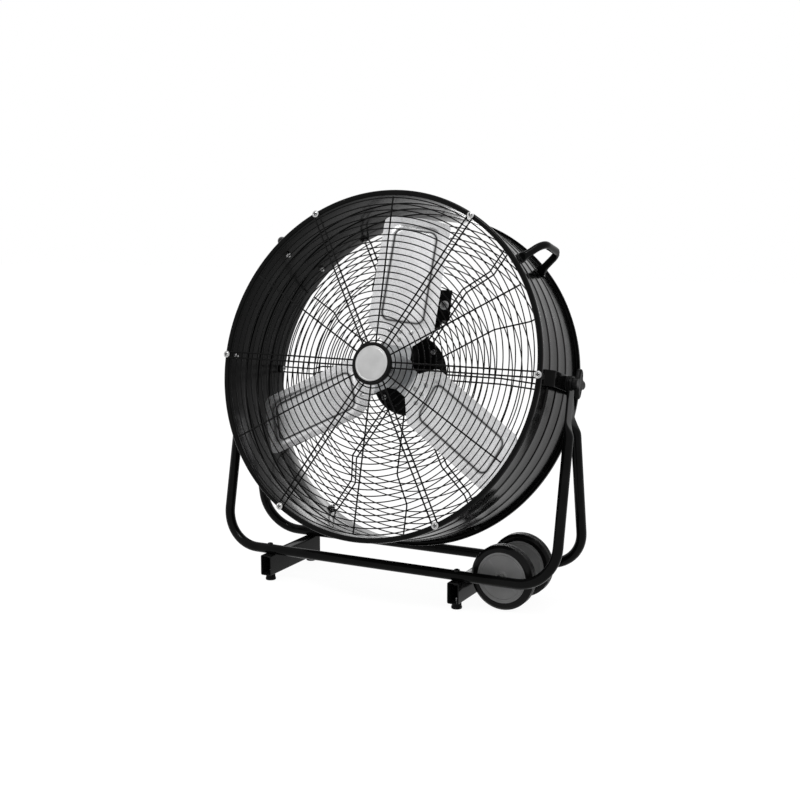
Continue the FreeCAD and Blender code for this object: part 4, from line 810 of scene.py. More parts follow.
def blade_place(index):
    """Matrix of a blade: X along its span, Y along its chord, Z out of its front face."""
    angle = BLADE_ANGLE + 360 / BLADE_COUNT * index
    span = polar(1, angle)
    chord = polar(0, angle, 0, math.cos(BLADE_PITCH)) - Vector((0, math.sin(BLADE_PITCH), 0))
    axes = Matrix((span, chord, span.cross(chord))).transposed().to_4x4()
    return Matrix.Translation((0, HUB_PLANE, 0)) @ axes


for index in range(BLADE_COUNT):
    blade = blade_mesh(ON_DRUM @ blade_place(index))
    add_piece(f"blade_{index + 1}", blade, "rotor", "blade_aluminium", f"fan_blade_{index + 1}")

# %% [markdown]
# ## Fasteners
# A few small shapes cover all the fasteners: a washer-head screw with a crossed recess, a
# domed bolt, a hexagon nut and a rivet. Each is modelled once, standing on its seat and
# pointing up, and the tree stands it on every seat.


# %% Fastener shapes
NUT_POINTS = 24
RECESS_FROM = 0.6
RECESS_DEPTH = 0.35


def crowned(outline, sides=28, cross=0.0):
    """Head turned about Z from radius and height; cross presses a crossed recess into its top."""
    mesh = turned(outline, Matrix.Rotation(math.pi / 2, 4, "X"), sides)
    if cross:
        top = max(vertex.co.z for vertex in mesh.vertices)
        # The recess is marked on the mesh, and the finish paints shade into it.
        recess_shade = mesh.attributes.new("painted_hollow_shade", "FLOAT", "POINT")
        for vertex in mesh.vertices:
            reach = math.hypot(vertex.co.x, vertex.co.y)
            turn = math.atan2(vertex.co.y, vertex.co.x)
            if reach < cross and abs(math.cos(2 * turn)) > 0.5 and vertex.co.z > RECESS_FROM * top:
                vertex.co.z -= RECESS_DEPTH * top
                recess_shade.data[vertex.index].value = 1
    return mesh


def hexagon(radius, bore, height, chamfer=0.6):
    """Hexagon nut with chamfered corners, standing on Z = 0."""
    loops = []
    outline = [(bore, 0), (radius, 0), (radius, height - chamfer), (radius - chamfer, height), (bore, height)]
    for size, z in outline:
        corners = []
        for turn in round_shares(NUT_POINTS):
            flat = math.cos(math.pi / 6) / math.cos(turn % (math.pi / 3) - math.pi / 6)
            reach = size * flat if size > bore else size
            corners.append((reach * math.cos(turn), reach * math.sin(turn), z))
        loops.append(corners)
    return skin_mesh(loops, Matrix.Identity(4), closed=True)


def fasteners(shape, seats):
    """Stands a shape on seats given as point and outward axis; returns one mesh."""
    pattern = in_scene("pattern", shape)
    points = [seat for seat, axis in seats]
    seed = seed_points(points, "axis", "FLOAT_VECTOR", [tuple(axis) for seat, axis in seats])
    mesh = grown(seed, fastener_tree, {"Fastener": pattern})
    bpy.data.objects.remove(pattern)
    return mesh


# %% Fasteners modelled once
washer_head = [(0, 0), (6.5, 0), (6.5, 0.9), (4.6, 1.2), (4.2, 2.6), (2.8, 3.4), (1.2, 3.5), (0, 3.5)]
guard_screw = crowned(washer_head, 32, 3.0)
domed_bolt = crowned([(0, 0), (5.5, 0), (5.5, 1.4), (4.6, 2.6), (2.7, 3.4), (1.2, 3.5), (0, 3.5)], 32, 2.9)
wall_nut = hexagon(5.5, 2.3, 4.0)
print("fastener shapes:", len(guard_screw.polygons), len(domed_bolt.polygons), len(wall_nut.polygons))

# %% Screws and nuts on the drum
OUTSIDE = WALL_RADIUS + SHEET
GAP = 0.3
PAD = 4.0
STRAP = 3.0
HANDLE_ANGLES = (41.2, 138.8)
HANDLE_BOLT = 66.0
rear_places = [(angle, WALL_BOLT) for angle in (60, 120, 240, 300)]
bracket_places = [(angle, side * WALL_BOLT) for angle in (0, 180) for side in (-1, 1)]
handle_places = [(angle, side * HANDLE_BOLT) for angle in HANDLE_ANGLES for side in (-1, 1)]


def seats_on_wall(places, radius, outward=1):
    return [(polar(radius, angle, along), polar(outward, angle)) for angle, along in places]


def add_fasteners(name, shape, seats, body, slot, node, place=ON_DRUM):
    mesh = fasteners(shape, seats)
    mesh.transform(place)
    add_piece(name, mesh, body, slot, node)


front_seats = [(polar(SCREW_CIRCLE, 60 * index, BADGE_BACK), Vector((0, -1, 0))) for index in range(6)]
add_fasteners("guard_screws", guard_screw, front_seats, "drum", "zinc", "front_guard_screws")
rear_seats = seats_on_wall(rear_places, OUTSIDE)
add_fasteners("rear_screws", domed_bolt, rear_seats, "drum", "black_zinc", "rear_guard_screws")
strap_seats = seats_on_wall(bracket_places, OUTSIDE + GAP + STRAP)
add_fasteners("strap_bolts", domed_bolt, strap_seats, "drum", "black_zinc", "bracket_bolts")
pad_seats = seats_on_wall(handle_places, OUTSIDE + GAP + PAD)
add_fasteners("handle_bolt_heads", domed_bolt, pad_seats, "drum", "black_zinc", "handle_bolts")

bare_seat = WALL_RADIUS - GAP / 2
wire_seat = WALL_RADIUS - 2 * SPOKE_WIRE - GAP
nut_seats = seats_on_wall(rear_places, wire_seat, -1) + seats_on_wall(handle_places, bare_seat, -1)
for angle, along in bracket_places:
    nut_seats += seats_on_wall([(angle, along)], wire_seat if along > 0 else bare_seat, -1)
shank = crowned([(0, -1), (2.4, -1), (2.4, 7.0), (1.8, 7.6), (0, 7.6)], 16)
nut_on_shank = joined([wall_nut, shank])
add_fasteners("nuts_inside_drum", nut_on_shank, nut_seats, "drum", "zinc", "wall_nuts")

# %% Rivets of the blades
RIVET_PLACES = [(58.5, 0.0), (74.0, -20.5), (74.0, 0.0), (74.0, 20.5)]
ARM_SHEET = 2.5
rivet_head = crowned([(0, 0), (4.5, 0), (4.2, 0.9), (3.2, 1.6), (1.6, 2.0), (0, 2.0)], 24)
rivet_seats = []
for index in range(BLADE_COUNT):
    blade_matrix = blade_place(index)
    for span, across in RIVET_PLACES:
        lean = math.asin(across / BLADE_CAMBER)
        inward = Vector((0, -math.sin(lean), math.cos(lean)))
        foot = Vector((span, across, BLADE_CAMBER - BLADE_CAMBER * math.cos(lean)))
        front_axis = blade_matrix.to_3x3() @ inward
        rivet_seats.append((blade_matrix @ foot, front_axis))
        rivet_seats.append((blade_matrix @ (foot - inward * (BLADE_SHEET + ARM_SHEET)), -front_axis))
add_fasteners("rivets", rivet_head, rivet_seats, "rotor", "zinc", "blade_rivets")

# %% [markdown]
# ## Handles and pivot straps
# The carrying handles are round tube, pressed flat at both ends so that they can be bolted
# to the drum. The pivot straps are flat bar bent into a hat, with the pivot bolt in the crown.

# %% Handles
HANDLE_RADIUS = 7.0
HANDLE_BEND = 24.0
HANDLE_REACH = 53.0
GRIP_HALF = 39.0
BASE_HALF = 54.0
BASE_BEND = 8.0
PAD_END = 73.0
PAD_HALF = 10.0
PRESSED_RISE = 16.0
STATION_PITCH = 2.5


def handle_mesh(angle):
    low = OUTSIDE + GAP + PAD / 2
    high = OUTSIDE + HANDLE_REACH
    outline = [(low, -PAD_END), (low, -BASE_HALF), (high, -GRIP_HALF)]
    bends = [0, BASE_BEND, HANDLE_BEND]
    line = rounded_line(outline + mirrored(outline), bends + bends[::-1], steps=10)
    finer = []
    for start, end in zip(line, line[1:]):
        pieces = max(1, int((end - start).length / STATION_PITCH))
        finer += [start.lerp(end, piece / pieces) for piece in range(pieces)]
    stations = []
    for radius, along in finer + [line[-1]]:
        flat = 1 - eased((radius - low - 1) / PRESSED_RISE)
        width = HANDLE_RADIUS + (PAD_HALF - HANDLE_RADIUS) * flat
        thick = HANDLE_RADIUS + (PAD / 2 - HANDLE_RADIUS) * flat
        rounding = max(0.0, abs(along) - (PAD_END - PAD_HALF)) / PAD_HALF
        width *= max(0.35, math.sqrt(max(0.0, 1 - rounding ** 2)))
        stations.append((polar(radius, angle, along), polar(0, angle, 0, 1), width, thick, 2 + 5 * flat))
    return pressed_tube(stations, ON_DRUM)


for side, angle in zip(("right", "left"), HANDLE_ANGLES):
    add_piece(f"{side}_carry_handle", handle_mesh(angle), "drum", "black_paint", f"{side}_handle")

# %% Pivot straps
STRAP_HALF = 14.0
STRAP_LIFT = 16.0
STRAP_FLAT = 65.0
STRAP_BEND = 6.0
STRAP_TIP = DRUM_HALF - RIM_LIP - 1.5
STRAP_HEEL = STRAP_TIP - 21.0


def strap_mesh(side):
    low = OUTSIDE + GAP + STRAP / 2
    high = OUTSIDE + STRAP_LIFT + STRAP / 2
    outline = [(low, -STRAP_TIP), (low, -STRAP_HEEL), (high, -STRAP_FLAT)]
    line = rounded_line(outline + mirrored(outline), [STRAP_BEND] * 6, steps=6)
    stations = [(Vector((side * x, y, 0)), (0, 0, 1), STRAP_HALF, STRAP / 2, 14) for x, y in line]
    return pressed_tube(stations, ON_DRUM, 48)


for name, side in (("right", 1), ("left", -1)):
    add_piece(f"{name}_pivot_strap", strap_mesh(side), "drum", "black_paint", f"{name}_pivot_bracket")

# %% [markdown]
# ## The stand
# Two bent tubes cross at the pivot. Each upright is pressed into a flat lug with a round
# end, and the two lugs lie on each other under the clamp knob. The bottom runs rest on two
# box-section beams with rubber feet.

# %% Stand tubes
TUBE_RADIUS = 9.5
UPRIGHT = 345.0
TUBE_BEND = 72.0
STANCE = 77.0
FOOT_HEIGHT = 12.0
BEAM_HEIGHT = 40.0
TUBE_HEIGHT = FOOT_HEIGHT + BEAM_HEIGHT + TUBE_RADIUS
LUG_HALF = 13.5
LUG_SHEET = 4.0
LUG_LENGTH = 65.5
LUG_TAPER = 32.0
BRACKET_FACE = OUTSIDE + STRAP_LIFT + STRAP
WASHER = 2.0
tube_rise = math.hypot(STANCE, PIVOT_HEIGHT - TUBE_HEIGHT)
tube_lean = math.atan2(STANCE, PIVOT_HEIGHT - TUBE_HEIGHT)


def stand_tube(side, lug_start):
    lug_middle = lug_start + LUG_SHEET / 2
    flat_from = tube_rise - LUG_LENGTH
    top = tube_rise + LUG_HALF
    heights = [top - LUG_HALF * (1 - math.cos(math.radians(9 * step))) for step in range(11)]
    heights += [flat_from + 10, flat_from] + [flat_from - LUG_TAPER * step / 10 for step in range(1, 11)]
    stations = []
    for z in heights:
        flat = 1 - eased((flat_from - z) / LUG_TAPER)
        x = UPRIGHT + (lug_middle - UPRIGHT) * flat
        over = max(0.0, z - tube_rise) / LUG_HALF
        width = TUBE_RADIUS + (LUG_HALF - TUBE_RADIUS) * flat
        width *= max(0.12, math.sqrt(max(0.0, 1 - over ** 2)))
        thick = TUBE_RADIUS + (LUG_SHEET / 2 - TUBE_RADIUS) * flat
        stations.append((Vector((x, 0, z)), width, thick, 2 + 8 * flat ** 3))
    corner_points = [(UPRIGHT, 0, 2 * TUBE_BEND), (UPRIGHT, 0, 0), (0, 0, 0)]
    corner = rounded_line(corner_points, [0, TUBE_BEND, 0], steps=16)
    stations += [(point, TUBE_RADIUS, TUBE_RADIUS, 2) for point in corner]
    other_half = [(Vector((-point.x, 0, point.z)), *section) for point, *section in reversed(stations[:-1])]
    whole = [(point, (0, 1, 0), *section) for point, *section in stations + other_half]
    lean = Matrix.Rotation(side * tube_lean, 4, "X")
    return pressed_tube(whole, TO_METRES @ Matrix.Translation((0, side * STANCE, TUBE_HEIGHT)) @ lean, 40)


inner_lug = BRACKET_FACE + WASHER
for name, side, lug_start in (("front", -1, inner_lug + LUG_SHEET), ("rear", 1, inner_lug)):
    tube = stand_tube(side, lug_start)
    add_piece(f"{name}_stand_tube", tube, "frame", "black_paint", f"{name}_frame_tube")

# %% Foot beams and rubber feet
BEAM_HALF = 11.5
BEAM_LENGTH = 188.0
BEAM_WALL = 2.0
BEAM_PLACES = {"left": -242.5, "right": 157.5}


def rounded_box_loop(half_x, half_z, round_by):
    corners = [(-half_x, -half_z), (half_x, -half_z), (half_x, half_z), (-half_x, half_z)]
    return rounded_line(corners, [round_by] * 4, closed=True, steps=5)


def beam_mesh(x):
    """Box section with rounded corners and open ends."""
    middle = FOOT_HEIGHT + BEAM_HEIGHT / 2
    outer = rounded_box_loop(BEAM_HALF, BEAM_HEIGHT / 2, 3)
    inner = rounded_box_loop(BEAM_HALF - BEAM_WALL, BEAM_HEIGHT / 2 - BEAM_WALL, 1)
    end = BEAM_LENGTH / 2
    sections = ((outer, -end), (outer, end), (inner, end), (inner, -end))
    loops = [[(x + point.x, y, middle + point.y) for point in section] for section, y in sections]
    return skin_mesh(loops, TO_METRES, closed=True)


for name, x in BEAM_PLACES.items():
    add_piece(f"{name}_beam", beam_mesh(x), "frame", "black_paint", f"{name}_foot_beam")

upward = Vector((0, 0, 1))
foot = [(5.5, 0), (10, 0), (10, 4), (9, 5.5), (9, 12), (2.5, 12), (2.5, 5), (5.5, 5)]
rubber_foot = crowned(rounded_line(foot, [0.6, 1.2, 0.6, 0.6, 1, 0, 0, 0.3], closed=True, steps=4), 32)
foot_places = [(x, side * STANCE) for x in BEAM_PLACES.values() for side in (-1, 1)]
foot_seats = [(Vector((x, y, 0)), upward) for x, y in foot_places]
add_fasteners("feet", rubber_foot, foot_seats, "frame", "foot_rubber", "rubber_feet", TO_METRES)

# %% Bolts through the stand tubes
stand_bolt = crowned([(0, -2), (5.5, -2), (5.5, 1), (4.8, 2.1), (3, 2.8), (1.2, 3), (0, 3)], 32, 2.2)
stand_nut = hexagon(7.5, 3.9, 6.0, 0.8)
tube_top = TUBE_HEIGHT + TUBE_RADIUS
under_tube = FOOT_HEIGHT + BEAM_HEIGHT - BEAM_WALL
bolt_heads = fasteners(stand_bolt, [(Vector((x, y, tube_top)), upward) for x, y in foot_places])
nuts_below = fasteners(stand_nut, [(Vector((x, y, under_tube)), -upward) for x, y in foot_places])
stand_bolts = joined([bolt_heads, nuts_below], TO_METRES)
add_piece("stand_bolts", stand_bolts, "frame", "black_zinc", "frame_bolts")

# %% [markdown]
# ## The wheels
# Two transport wheels sit between the tubes at the right end: a black tyre round a grey
# moulded disc with a thin raised ring near its edge. All of it is turned.

# %% Wheels
WHEEL_PLACE = 236.0
WHEEL_TRACK = 45.0
WHEEL_RADIUS = 60.0
WHEEL_HALF = 12.0
DISC_EDGE = 47.0
AXLE_FIT = 5.05
tyre_half = [(DISC_EDGE, WHEEL_HALF - 0.6), (50.5, WHEEL_HALF), (55, WHEEL_HALF)]
tyre_half.append((WHEEL_RADIUS, WHEEL_HALF - 4))
for groove in (5.0, 0.8):
    tyre_half += [(WHEEL_RADIUS, groove + 1.1), (WHEEL_RADIUS - 1.2, groove + 0.7)]
    tyre_half += [(WHEEL_RADIUS - 1.2, groove - 0.3), (WHEEL_RADIUS, groove - 0.7)]
tyre_bends = [0.5, 1.5, 3, 2] + [0.3] * 8
disc_half = [(AXLE_FIT, WHEEL_HALF), (10, WHEEL_HALF), (12, WHEEL_HALF - 1), (13.5, 10.2)]
disc_half += [(39.6, 9.8), (40, 11), (42.4, 11), (42.8, 9.8), (DISC_EDGE, 10.2)]
disc_bends = [0.4, 0.8, 0.6, 0.6, 0.2, 0.5, 0.5, 0.2, 0]


def add_wheel_piece(name, half, bends, wheel, slot, node, side):
    place = TO_METRES @ Matrix.Translation((WHEEL_PLACE, side * WHEEL_TRACK, TUBE_HEIGHT))
    add_turned(name, half + mirrored(half), bends + bends[::-1], wheel, slot, node, place, sides=128)


for name, side in (("front", -1), ("rear", 1)):
    wheel = f"{name}_wheel"
    add_wheel_piece(f"{name}_tyre", tyre_half, tyre_bends, wheel, "tyre_rubber", f"{wheel}_tyre", side)
    add_wheel_piece(f"{name}_disc", disc_half, disc_bends, wheel, "wheel_grey", f"{wheel}_disc", side)

# %% [markdown]
# ## Knobs
# The clamp knobs have four narrow lobes that a hand can grip, and the speed knob is a ribbed
# dial with a pointer. Both are a closed outline in polar form, stacked in layers whose edges
# are drawn in, so that the rims are rounded.


# %% Layered knobs
def layered(reach, layers, place, sides=120):
    """Stack of outlines: reach gives the radius at an angle, layers give inset and height."""
    loops = []
    for inset, height in layers:
        loop = []
        for turn in round_shares(sides):
            radius = reach(turn) - inset
            loop.append((radius * math.cos(turn), height, radius * math.sin(turn)))
        loops.append(loop)
    return skin_mesh(loops, place, capped=True)


def lobed(turn):
    return 15.0 + 12.0 * (0.5 + 0.5 * math.cos(4 * turn)) ** 1.3


CLAMP_SEAT = inner_lug + 2 * LUG_SHEET + WASHER
CLAMP_STEM = 5.0
CLAMP_HEAD = 9.0
head_layers = [(1.6, 0), (0.5, 0.5), (0, 1.6), (0, CLAMP_HEAD - 2.6), (0.7, CLAMP_HEAD - 1.1)]
head_layers += [(2.2, CLAMP_HEAD - 0.2), (5, CLAMP_HEAD), (8, CLAMP_HEAD - 0.5)]
stem_line = rounded_line([(0, 0), (11, 0), (11, CLAMP_STEM + 1), (0, CLAMP_STEM + 1)], [0, 1, 0, 0])
for name, side in (("right", 1), ("left", -1)):
    outward = Matrix.Rotation(-side * math.pi / 2, 4, "Z")
    seat = ON_DRUM @ Matrix.Translation((side * CLAMP_SEAT, 0, 0)) @ outward
    head = layered(lobed, head_layers, seat @ Matrix.Translation((0, CLAMP_STEM, 0)))
    knob = joined([head, turned(stem_line, seat, 48)])
    add_piece(f"{name}_tilt_knob", knob, f"{name}_knob", "black_plastic", f"{name}_clamp_knob")

# %% [markdown]
# ## Motor and controls
# Behind the blades, a plate clamps the motor to the guard. The motor is two pressed shells,
# the rear one ribbed for cooling. A control box with a speed dial hangs beside it, with a
# gland for the mains lead.

# %% Motor shells and plate
PLATE_FRONT = RECESS_RINGS + WIRE_LIFT + SPOKE_WIRE
MOTOR_FACE = PLATE_FRONT + 3.0
MOTOR_RADIUS = 56.0
MOTOR_BORE = MOTOR_RADIUS - 3.0
FLANGE_RADIUS = 74.0
FLANGE_BACK = MOTOR_FACE + 4.0
PLATE_RADIUS = 78.0
MOTOR_SPLIT = MOTOR_FACE + 28.0
MOTOR_BACK = MOTOR_FACE + 53.0
PLATE_BORE = 20.3
plate = [(PLATE_BORE, PLATE_FRONT), (PLATE_RADIUS, PLATE_FRONT)]
plate += [(PLATE_RADIUS, MOTOR_FACE), (PLATE_BORE, MOTOR_FACE)]
add_turned("motor_plate", plate, [0.5, 1, 1, 0.5], "drum", "black_paint", "motor_mount_plate")

front_line = [(16, MOTOR_FACE - 20), (20, MOTOR_FACE - 20), (20, MOTOR_FACE), (FLANGE_RADIUS, MOTOR_FACE)]
front_line += [(FLANGE_RADIUS, FLANGE_BACK), (MOTOR_RADIUS, FLANGE_BACK), (MOTOR_RADIUS, MOTOR_SPLIT)]
front_line += [(MOTOR_BORE, MOTOR_SPLIT), (MOTOR_BORE, FLANGE_BACK), (8, FLANGE_BACK)]
front_line += [(8, MOTOR_FACE - 10), (16, MOTOR_FACE - 10)]
front_bends = [0.5, 1.5, 0.5, 0.8, 1, 2, 0.6, 0, 0, 0, 0, 0]
add_turned("motor_front", front_line, front_bends, "drum", "black_paint", "motor_front_shell")

rear_bore = MOTOR_BORE + 0.5
rear_line = [(0, MOTOR_BACK - 1), (24, MOTOR_BACK), (28, MOTOR_BACK - 2), (MOTOR_RADIUS - 8, MOTOR_BACK - 3)]
rear_line += [(MOTOR_RADIUS, MOTOR_BACK - 8), (MOTOR_RADIUS, MOTOR_SPLIT + 3)]
rear_line += [(rear_bore, MOTOR_SPLIT + 2), (rear_bore, MOTOR_SPLIT), (MOTOR_BORE, MOTOR_SPLIT)]
rear_line += [(MOTOR_BORE, MOTOR_BACK - 9), (MOTOR_BORE - 6, MOTOR_BACK - 5.5), (0, MOTOR_BACK - 5.5)]
rear_bends = [0, 1.5, 1.5, 4, 6, 0.8, 0.5, 0, 0, 3, 3, 0]
rear_shell = turned(rounded_line(rear_line, rear_bends, steps=5), ON_DRUM)

# %% Cooling ribs on the motor
RIB_COUNT = 24
RIB_RADIUS = 1.3
rib_line = [polar(31, 0, MOTOR_BACK - 2.4), polar(MOTOR_RADIUS - 11, 0, MOTOR_BACK - 3.0)]
rib_line.append(polar(MOTOR_RADIUS - 4, 0, MOTOR_BACK - 6.0))
ribs = joined([wires(rib_line, 4.0, RIB_COUNT, RIB_RADIUS)], ON_DRUM)
add_piece("motor_rear", joined([rear_shell, ribs]), "drum", "black_paint", "motor_rear_shell")

# %% Motor bolts
MOTOR_BOLT_CIRCLE = 66.0
backward = Vector((0, 1, 0))


def seats_facing(radius, angles, along, axis):
    return [(polar(radius, angle, along), axis) for angle in angles]


motor_angles = [45 + 90 * index for index in range(4)]
motor_heads = fasteners(domed_bolt, seats_facing(MOTOR_BOLT_CIRCLE, motor_angles, PLATE_FRONT, -backward))
motor_nuts = fasteners(wall_nut, seats_facing(MOTOR_BOLT_CIRCLE, motor_angles, FLANGE_BACK, backward))
motor_fasteners = joined([motor_heads, motor_nuts], ON_DRUM)
add_piece("motor_fasteners", motor_fasteners, "drum", "zinc", "motor_bolts")

# %% Control box
BOX_LEFT = 4.0
BOX_RIGHT = 48.0
BOX_EAR = 70.0
BOX_LOW = 108.0
BOX_HIGH = 167.0
BOX_WALL = 2.0
BOX_BACK = PLATE_FRONT + 38.0
COVER_BACK = BOX_BACK + 3.0
SCREW_INSET = 6.0


def rounded_block(low, high, round_by, place):
    """Box between two corners, with rounded edges."""
    builder = bmesh.new()
    middle = (Vector(low) + Vector(high)) / 2
    stretch = Matrix.Diagonal((*(Vector(high) - Vector(low)), 1))
    bmesh.ops.create_cube(builder, size=1, matrix=Matrix.Translation(middle) @ stretch)
    bmesh.ops.bevel(builder, geom=builder.edges[:], offset=round_by, segments=4, profile=0.5, affect="EDGES")
    return to_mesh(builder, place)


box_high = (BOX_RIGHT, BOX_BACK - 0.05, BOX_HIGH)
box_block = rounded_block((BOX_LEFT, PLATE_FRONT, BOX_LOW), box_high, 2, ON_DRUM)
ear_low = (BOX_RIGHT - 3, PLATE_FRONT, BOX_LOW)
ear_block = rounded_block(ear_low, (BOX_EAR, PLATE_FRONT + BOX_WALL, BOX_HIGH), 0.6, ON_DRUM)
add_piece("switch_box", joined([box_block, ear_block]), "drum", "black_plastic", "control_box")
cover_block = rounded_block((BOX_LEFT, BOX_BACK, BOX_LOW), (BOX_RIGHT, COVER_BACK, BOX_HIGH), 1.2, ON_DRUM)
add_piece("switch_box_cover", cover_block, "drum", "black_plastic", "control_box_cover")

small_screw = crowned([(0, 0), (3, 0), (3, 0.8), (2.2, 1.6), (1, 2), (0, 2)], 24, 1.4)
screw_columns = (BOX_LEFT + SCREW_INSET, BOX_RIGHT - SCREW_INSET)
screw_rows = (BOX_LOW + SCREW_INSET, BOX_HIGH - SCREW_INSET)
cover_seats = [(Vector((x, COVER_BACK, z)), backward) for x in screw_columns for z in screw_rows]
add_fasteners("cover_screws", small_screw, cover_seats, "drum", "zinc", "control_box_screws")

# %% Washers that clamp the box to the guard
BOX_BOLT_CIRCLE = 149.25
BOX_BOLT_ANGLES = (66.3, 84.6)
washer_front = RECESS_RINGS - RING_WIRE - 1.5
washer_shape = crowned([(2.6, -1.5), (9, -1.5), (9, -0.3), (8.4, 0), (2.6, 0)], 40)
washer_seats = seats_facing(BOX_BOLT_CIRCLE, BOX_BOLT_ANGLES, washer_front, -backward)
inner_seats = seats_facing(BOX_BOLT_CIRCLE, BOX_BOLT_ANGLES, PLATE_FRONT + BOX_WALL, backward)
clamp_set = [fasteners(shape, washer_seats) for shape in (washer_shape, domed_bolt)]
box_clamps = joined(clamp_set + [fasteners(wall_nut, inner_seats)], ON_DRUM)
add_piece("box_clamps", box_clamps, "drum", "zinc", "control_box_bolts")

# %% Speed dial
DIAL = Vector((27.0, 0, 137.5))
DIAL_START = COVER_BACK + 0.3
FIGURE_CIRCLE = 19.8


def ribbed(turn):
    return 15.6 + 0.4 * math.cos(24 * turn)


dial_layers = [(0.6, 0), (0, 0.8), (0, 12.4), (0.6, 14.2), (1.8, 15.4), (3.4, 16), (5, 16)]
dial_place = ON_DRUM @ Matrix.Translation((DIAL.x, DIAL_START, DIAL.z))
dial = layered(ribbed, dial_layers, dial_place, 192)
pointer = rounded_block((-1.5, 14.6, 0), (1.5, 17.4, 13), 0.5, dial_place)
add_piece("dial_knob", joined([dial, pointer]), "speed_dial", "black_plastic", "speed_knob")


def dial_number(text, angle):
    """Raised figure on the cover beside the dial, read from behind."""
    words = bpy.data.curves.new("figure", "FONT")
    words.body = text
    words.size = 4.6
    words.extrude = 0.12
    words.align_x = "CENTER"
    words.align_y = "CENTER"
    mesh = as_mesh(in_scene("figure", words))
    facing_back = Matrix(((-1, 0, 0), (0, 0, 1), (0, 1, 0))).to_4x4()
    turn = math.radians(angle)
    aside = Vector((-math.sin(turn), 0, math.cos(turn))) * FIGURE_CIRCLE
    spot = DIAL + aside + Vector((0, COVER_BACK + 0.1, 0))
    mesh.transform(ON_DRUM @ Matrix.Translation(spot) @ facing_back)
    return mesh


figures = joined([dial_number(str(step), 90 * step) for step in range(4)])
add_piece("dial_figures", figures, "drum", "black_plastic", finish=dial_print)

# %% Gland for the mains lead
gland_spot = Matrix.Translation((38, PLATE_FRONT + 19.0, BOX_LOW))
gland_place = ON_DRUM @ gland_spot @ Matrix.Rotation(-math.pi / 2, 4, "X")
gland = [(3.6, 0), (9, 0), (9, 5), (6.75, 5.6), (6.75, 13), (5.6, 15), (3.6, 15)]
gland_bends = [0, 0.4, 0.8, 0.4, 1, 0.6, 0.4]
add_turned("lead_gland", gland, gland_bends, "drum", "black_plastic", "cable_gland", gland_place, 3, 48)

# %% [markdown]
# ## The pieces that stay as they are
# Shafts, bearings, windings, washers and pins are simple turned parts that the CAD model
# already shows well. They only need a finish in place of their plain colour. The washers on
# the pivot bolts are black, like the bolts.

# %% Finishes for the remaining CAD nodes
blackened = ["pivot_washers"]
for row in frame["record"]["subparts"]:
    node = frame["nodes"][row["node"]]
    if node.hide_render:
        continue
    finish = dark_plate if row["node"] in blackened else finish_of_slot[row["material_slot"]]
    node.data.materials.clear()
    node.data.materials.append(finish)
    print("kept", row["node"], "in", finish.name)

# %% [markdown]
# ## Studio
# The fan stands on a white floor in front of a white background. Camera rays see plain
# white, and so do reflections, while the light that falls on the fan comes from the world at
# a lower level and from four soft lamps. The floor keeps a little of the fan's shadow.


# %% Floor and background
def white_for_the_camera(tree, lit, white, target):
    """Mixes a lit shader with plain white for camera, glossy and transmission rays."""
    path = add_node(tree, "ShaderNodeLightPath").outputs
    seen = path["Is Camera Ray"]
    for ray in ("Is Glossy Ray", "Is Transmission Ray"):
        either = add_node(tree, "ShaderNodeMath", operation="MAXIMUM")
        link(seen, either.inputs[0])
        link(path[ray], either.inputs[1])
        seen = either.outputs["Value"]
    mix = add_node(tree, "ShaderNodeMixShader")
    link(seen, mix.inputs["Fac"])
    link(lit, mix.inputs[1])
    link(white, mix.inputs[2])
    link(mix.outputs["Shader"], target)


WHITE = (1, 1, 1, 1)
FLOOR_HALF = 9
FLOOR_DROP = 0.0005
world = bpy.data.worlds.new("studio")
world.use_nodes = True
sky = world.node_tree
sky.nodes.clear()
soft_light = add_node(sky, "ShaderNodeBackground", {"Color": WHITE, "Strength": 0.8}).outputs[0]
backdrop = add_node(sky, "ShaderNodeBackground", {"Color": WHITE}).outputs[0]
white_for_the_camera(sky, soft_light, backdrop, add_node(sky, "ShaderNodeOutputWorld").inputs["Surface"])
bpy.context.scene.world = world

floor_finish = bpy.data.materials.new("white_floor")
floor_finish.use_nodes = True
paint = floor_finish.node_tree
paint.nodes.clear()
floor_lit = add_node(paint, "ShaderNodeBsdfDiffuse", {"Color": (0.8, 0.8, 0.8, 1)}).outputs[0]
floor_glow = add_node(paint, "ShaderNodeEmission", {"Strength": 1.1}).outputs[0]
shaded = add_node(paint, "ShaderNodeMixShader", {"Fac": 0.85})
link(floor_lit, shaded.inputs[1])
link(floor_glow, shaded.inputs[2])
floor_out = add_node(paint, "ShaderNodeOutputMaterial").inputs["Surface"]
white_for_the_camera(paint, floor_lit, shaded.outputs[0], floor_out)

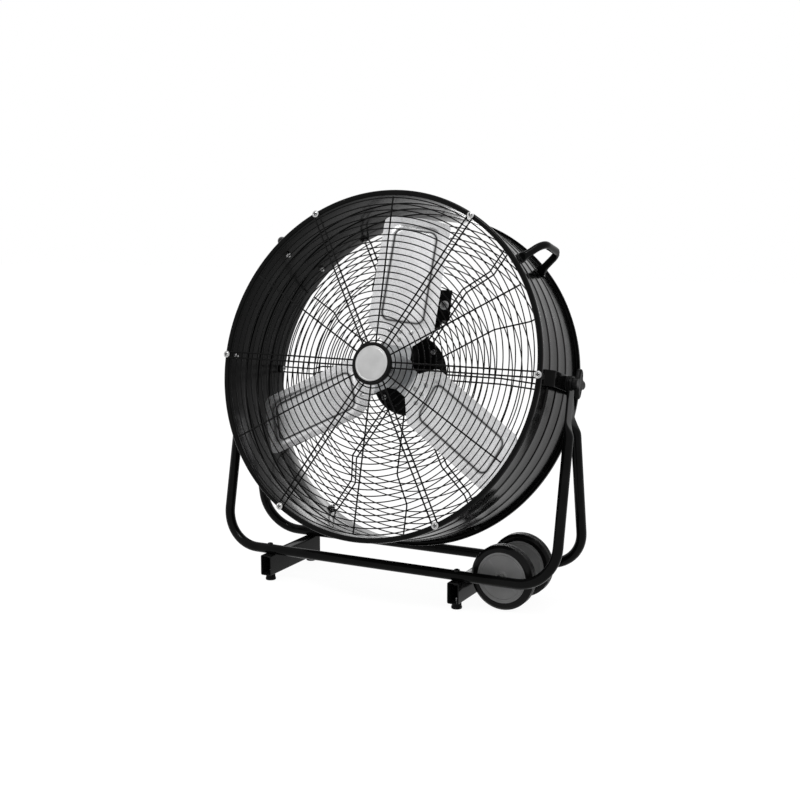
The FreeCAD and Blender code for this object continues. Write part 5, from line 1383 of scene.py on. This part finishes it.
floor_mesh = bpy.data.meshes.new("studio_floor")
floor_corners = [(x * FLOOR_HALF, y * FLOOR_HALF, 0) for x, y in ((-1, -1), (1, -1), (1, 1), (-1, 1))]
floor_mesh.from_pydata(floor_corners, [], [(0, 1, 2, 3)])
floor_mesh.materials.append(floor_finish)
floor = in_scene("studio_floor", floor_mesh)
floor.location.z = -FLOOR_DROP
print("floor", 2 * FLOOR_HALF, "m wide")

# %% Lamps
LAMP_TARGET = Vector((0, 0, 0.4))


def soft_lamp(name, place, size, power):
    lamp = bpy.data.lights.new(name, "AREA")
    lamp.shape = "RECTANGLE"
    lamp.size, lamp.size_y = size
    lamp.energy = power
    holder = in_scene(name, lamp)
    holder.location = place
    holder.rotation_euler = (LAMP_TARGET - Vector(place)).to_track_quat("-Z", "Y").to_euler()
    print(name, "at", place, "with", power, "watts")


soft_lamp("key_softbox", (-0.3, -1.86, 2.74), (0.4, 0.4), 18)
soft_lamp("left_softbox", (-2.8, -0.9, 0.9), (1.2, 1.2), 10)
soft_lamp("top_softbox", (0.0, -0.9, 2.5), (0.5, 1.6), 14)
soft_lamp("rear_softbox", (-0.3, 2.0, 0.48), (1.3, 0.32), 4)

# %% [markdown]
# ## Camera
# The camera stands where the photograph was taken: a little to the right of the fan's axis
# and slightly above it, with a lens that sees the fan at the same size.

# %% Camera at the photograph's angle
AZIMUTH = math.radians(27.012)
ELEVATION = math.radians(8.951)
DISTANCE = 2.4635
TARGET = Vector((0.0024, 0, 0.3622))
LENS_IN_PIXELS = 1306.55
IMAGE_WIDTH = 800
SENSOR = 36.0
level = Vector((math.sin(AZIMUTH), -math.cos(AZIMUTH), 0))
back = level * math.cos(ELEVATION) + Vector((0, 0, math.sin(ELEVATION)))
lens = bpy.data.cameras.new("photo_camera")
lens.sensor_width = SENSOR
lens.lens = LENS_IN_PIXELS / IMAGE_WIDTH * SENSOR
camera = in_scene("photo_camera", lens)
camera.location = TARGET + back * DISTANCE
camera.rotation_euler = (-back).to_track_quat("-Z", "Y").to_euler()
bpy.context.scene.camera = camera
bpy.context.scene.view_settings.view_transform = "Standard"
print("camera at", [round(value, 3) for value in camera.location])
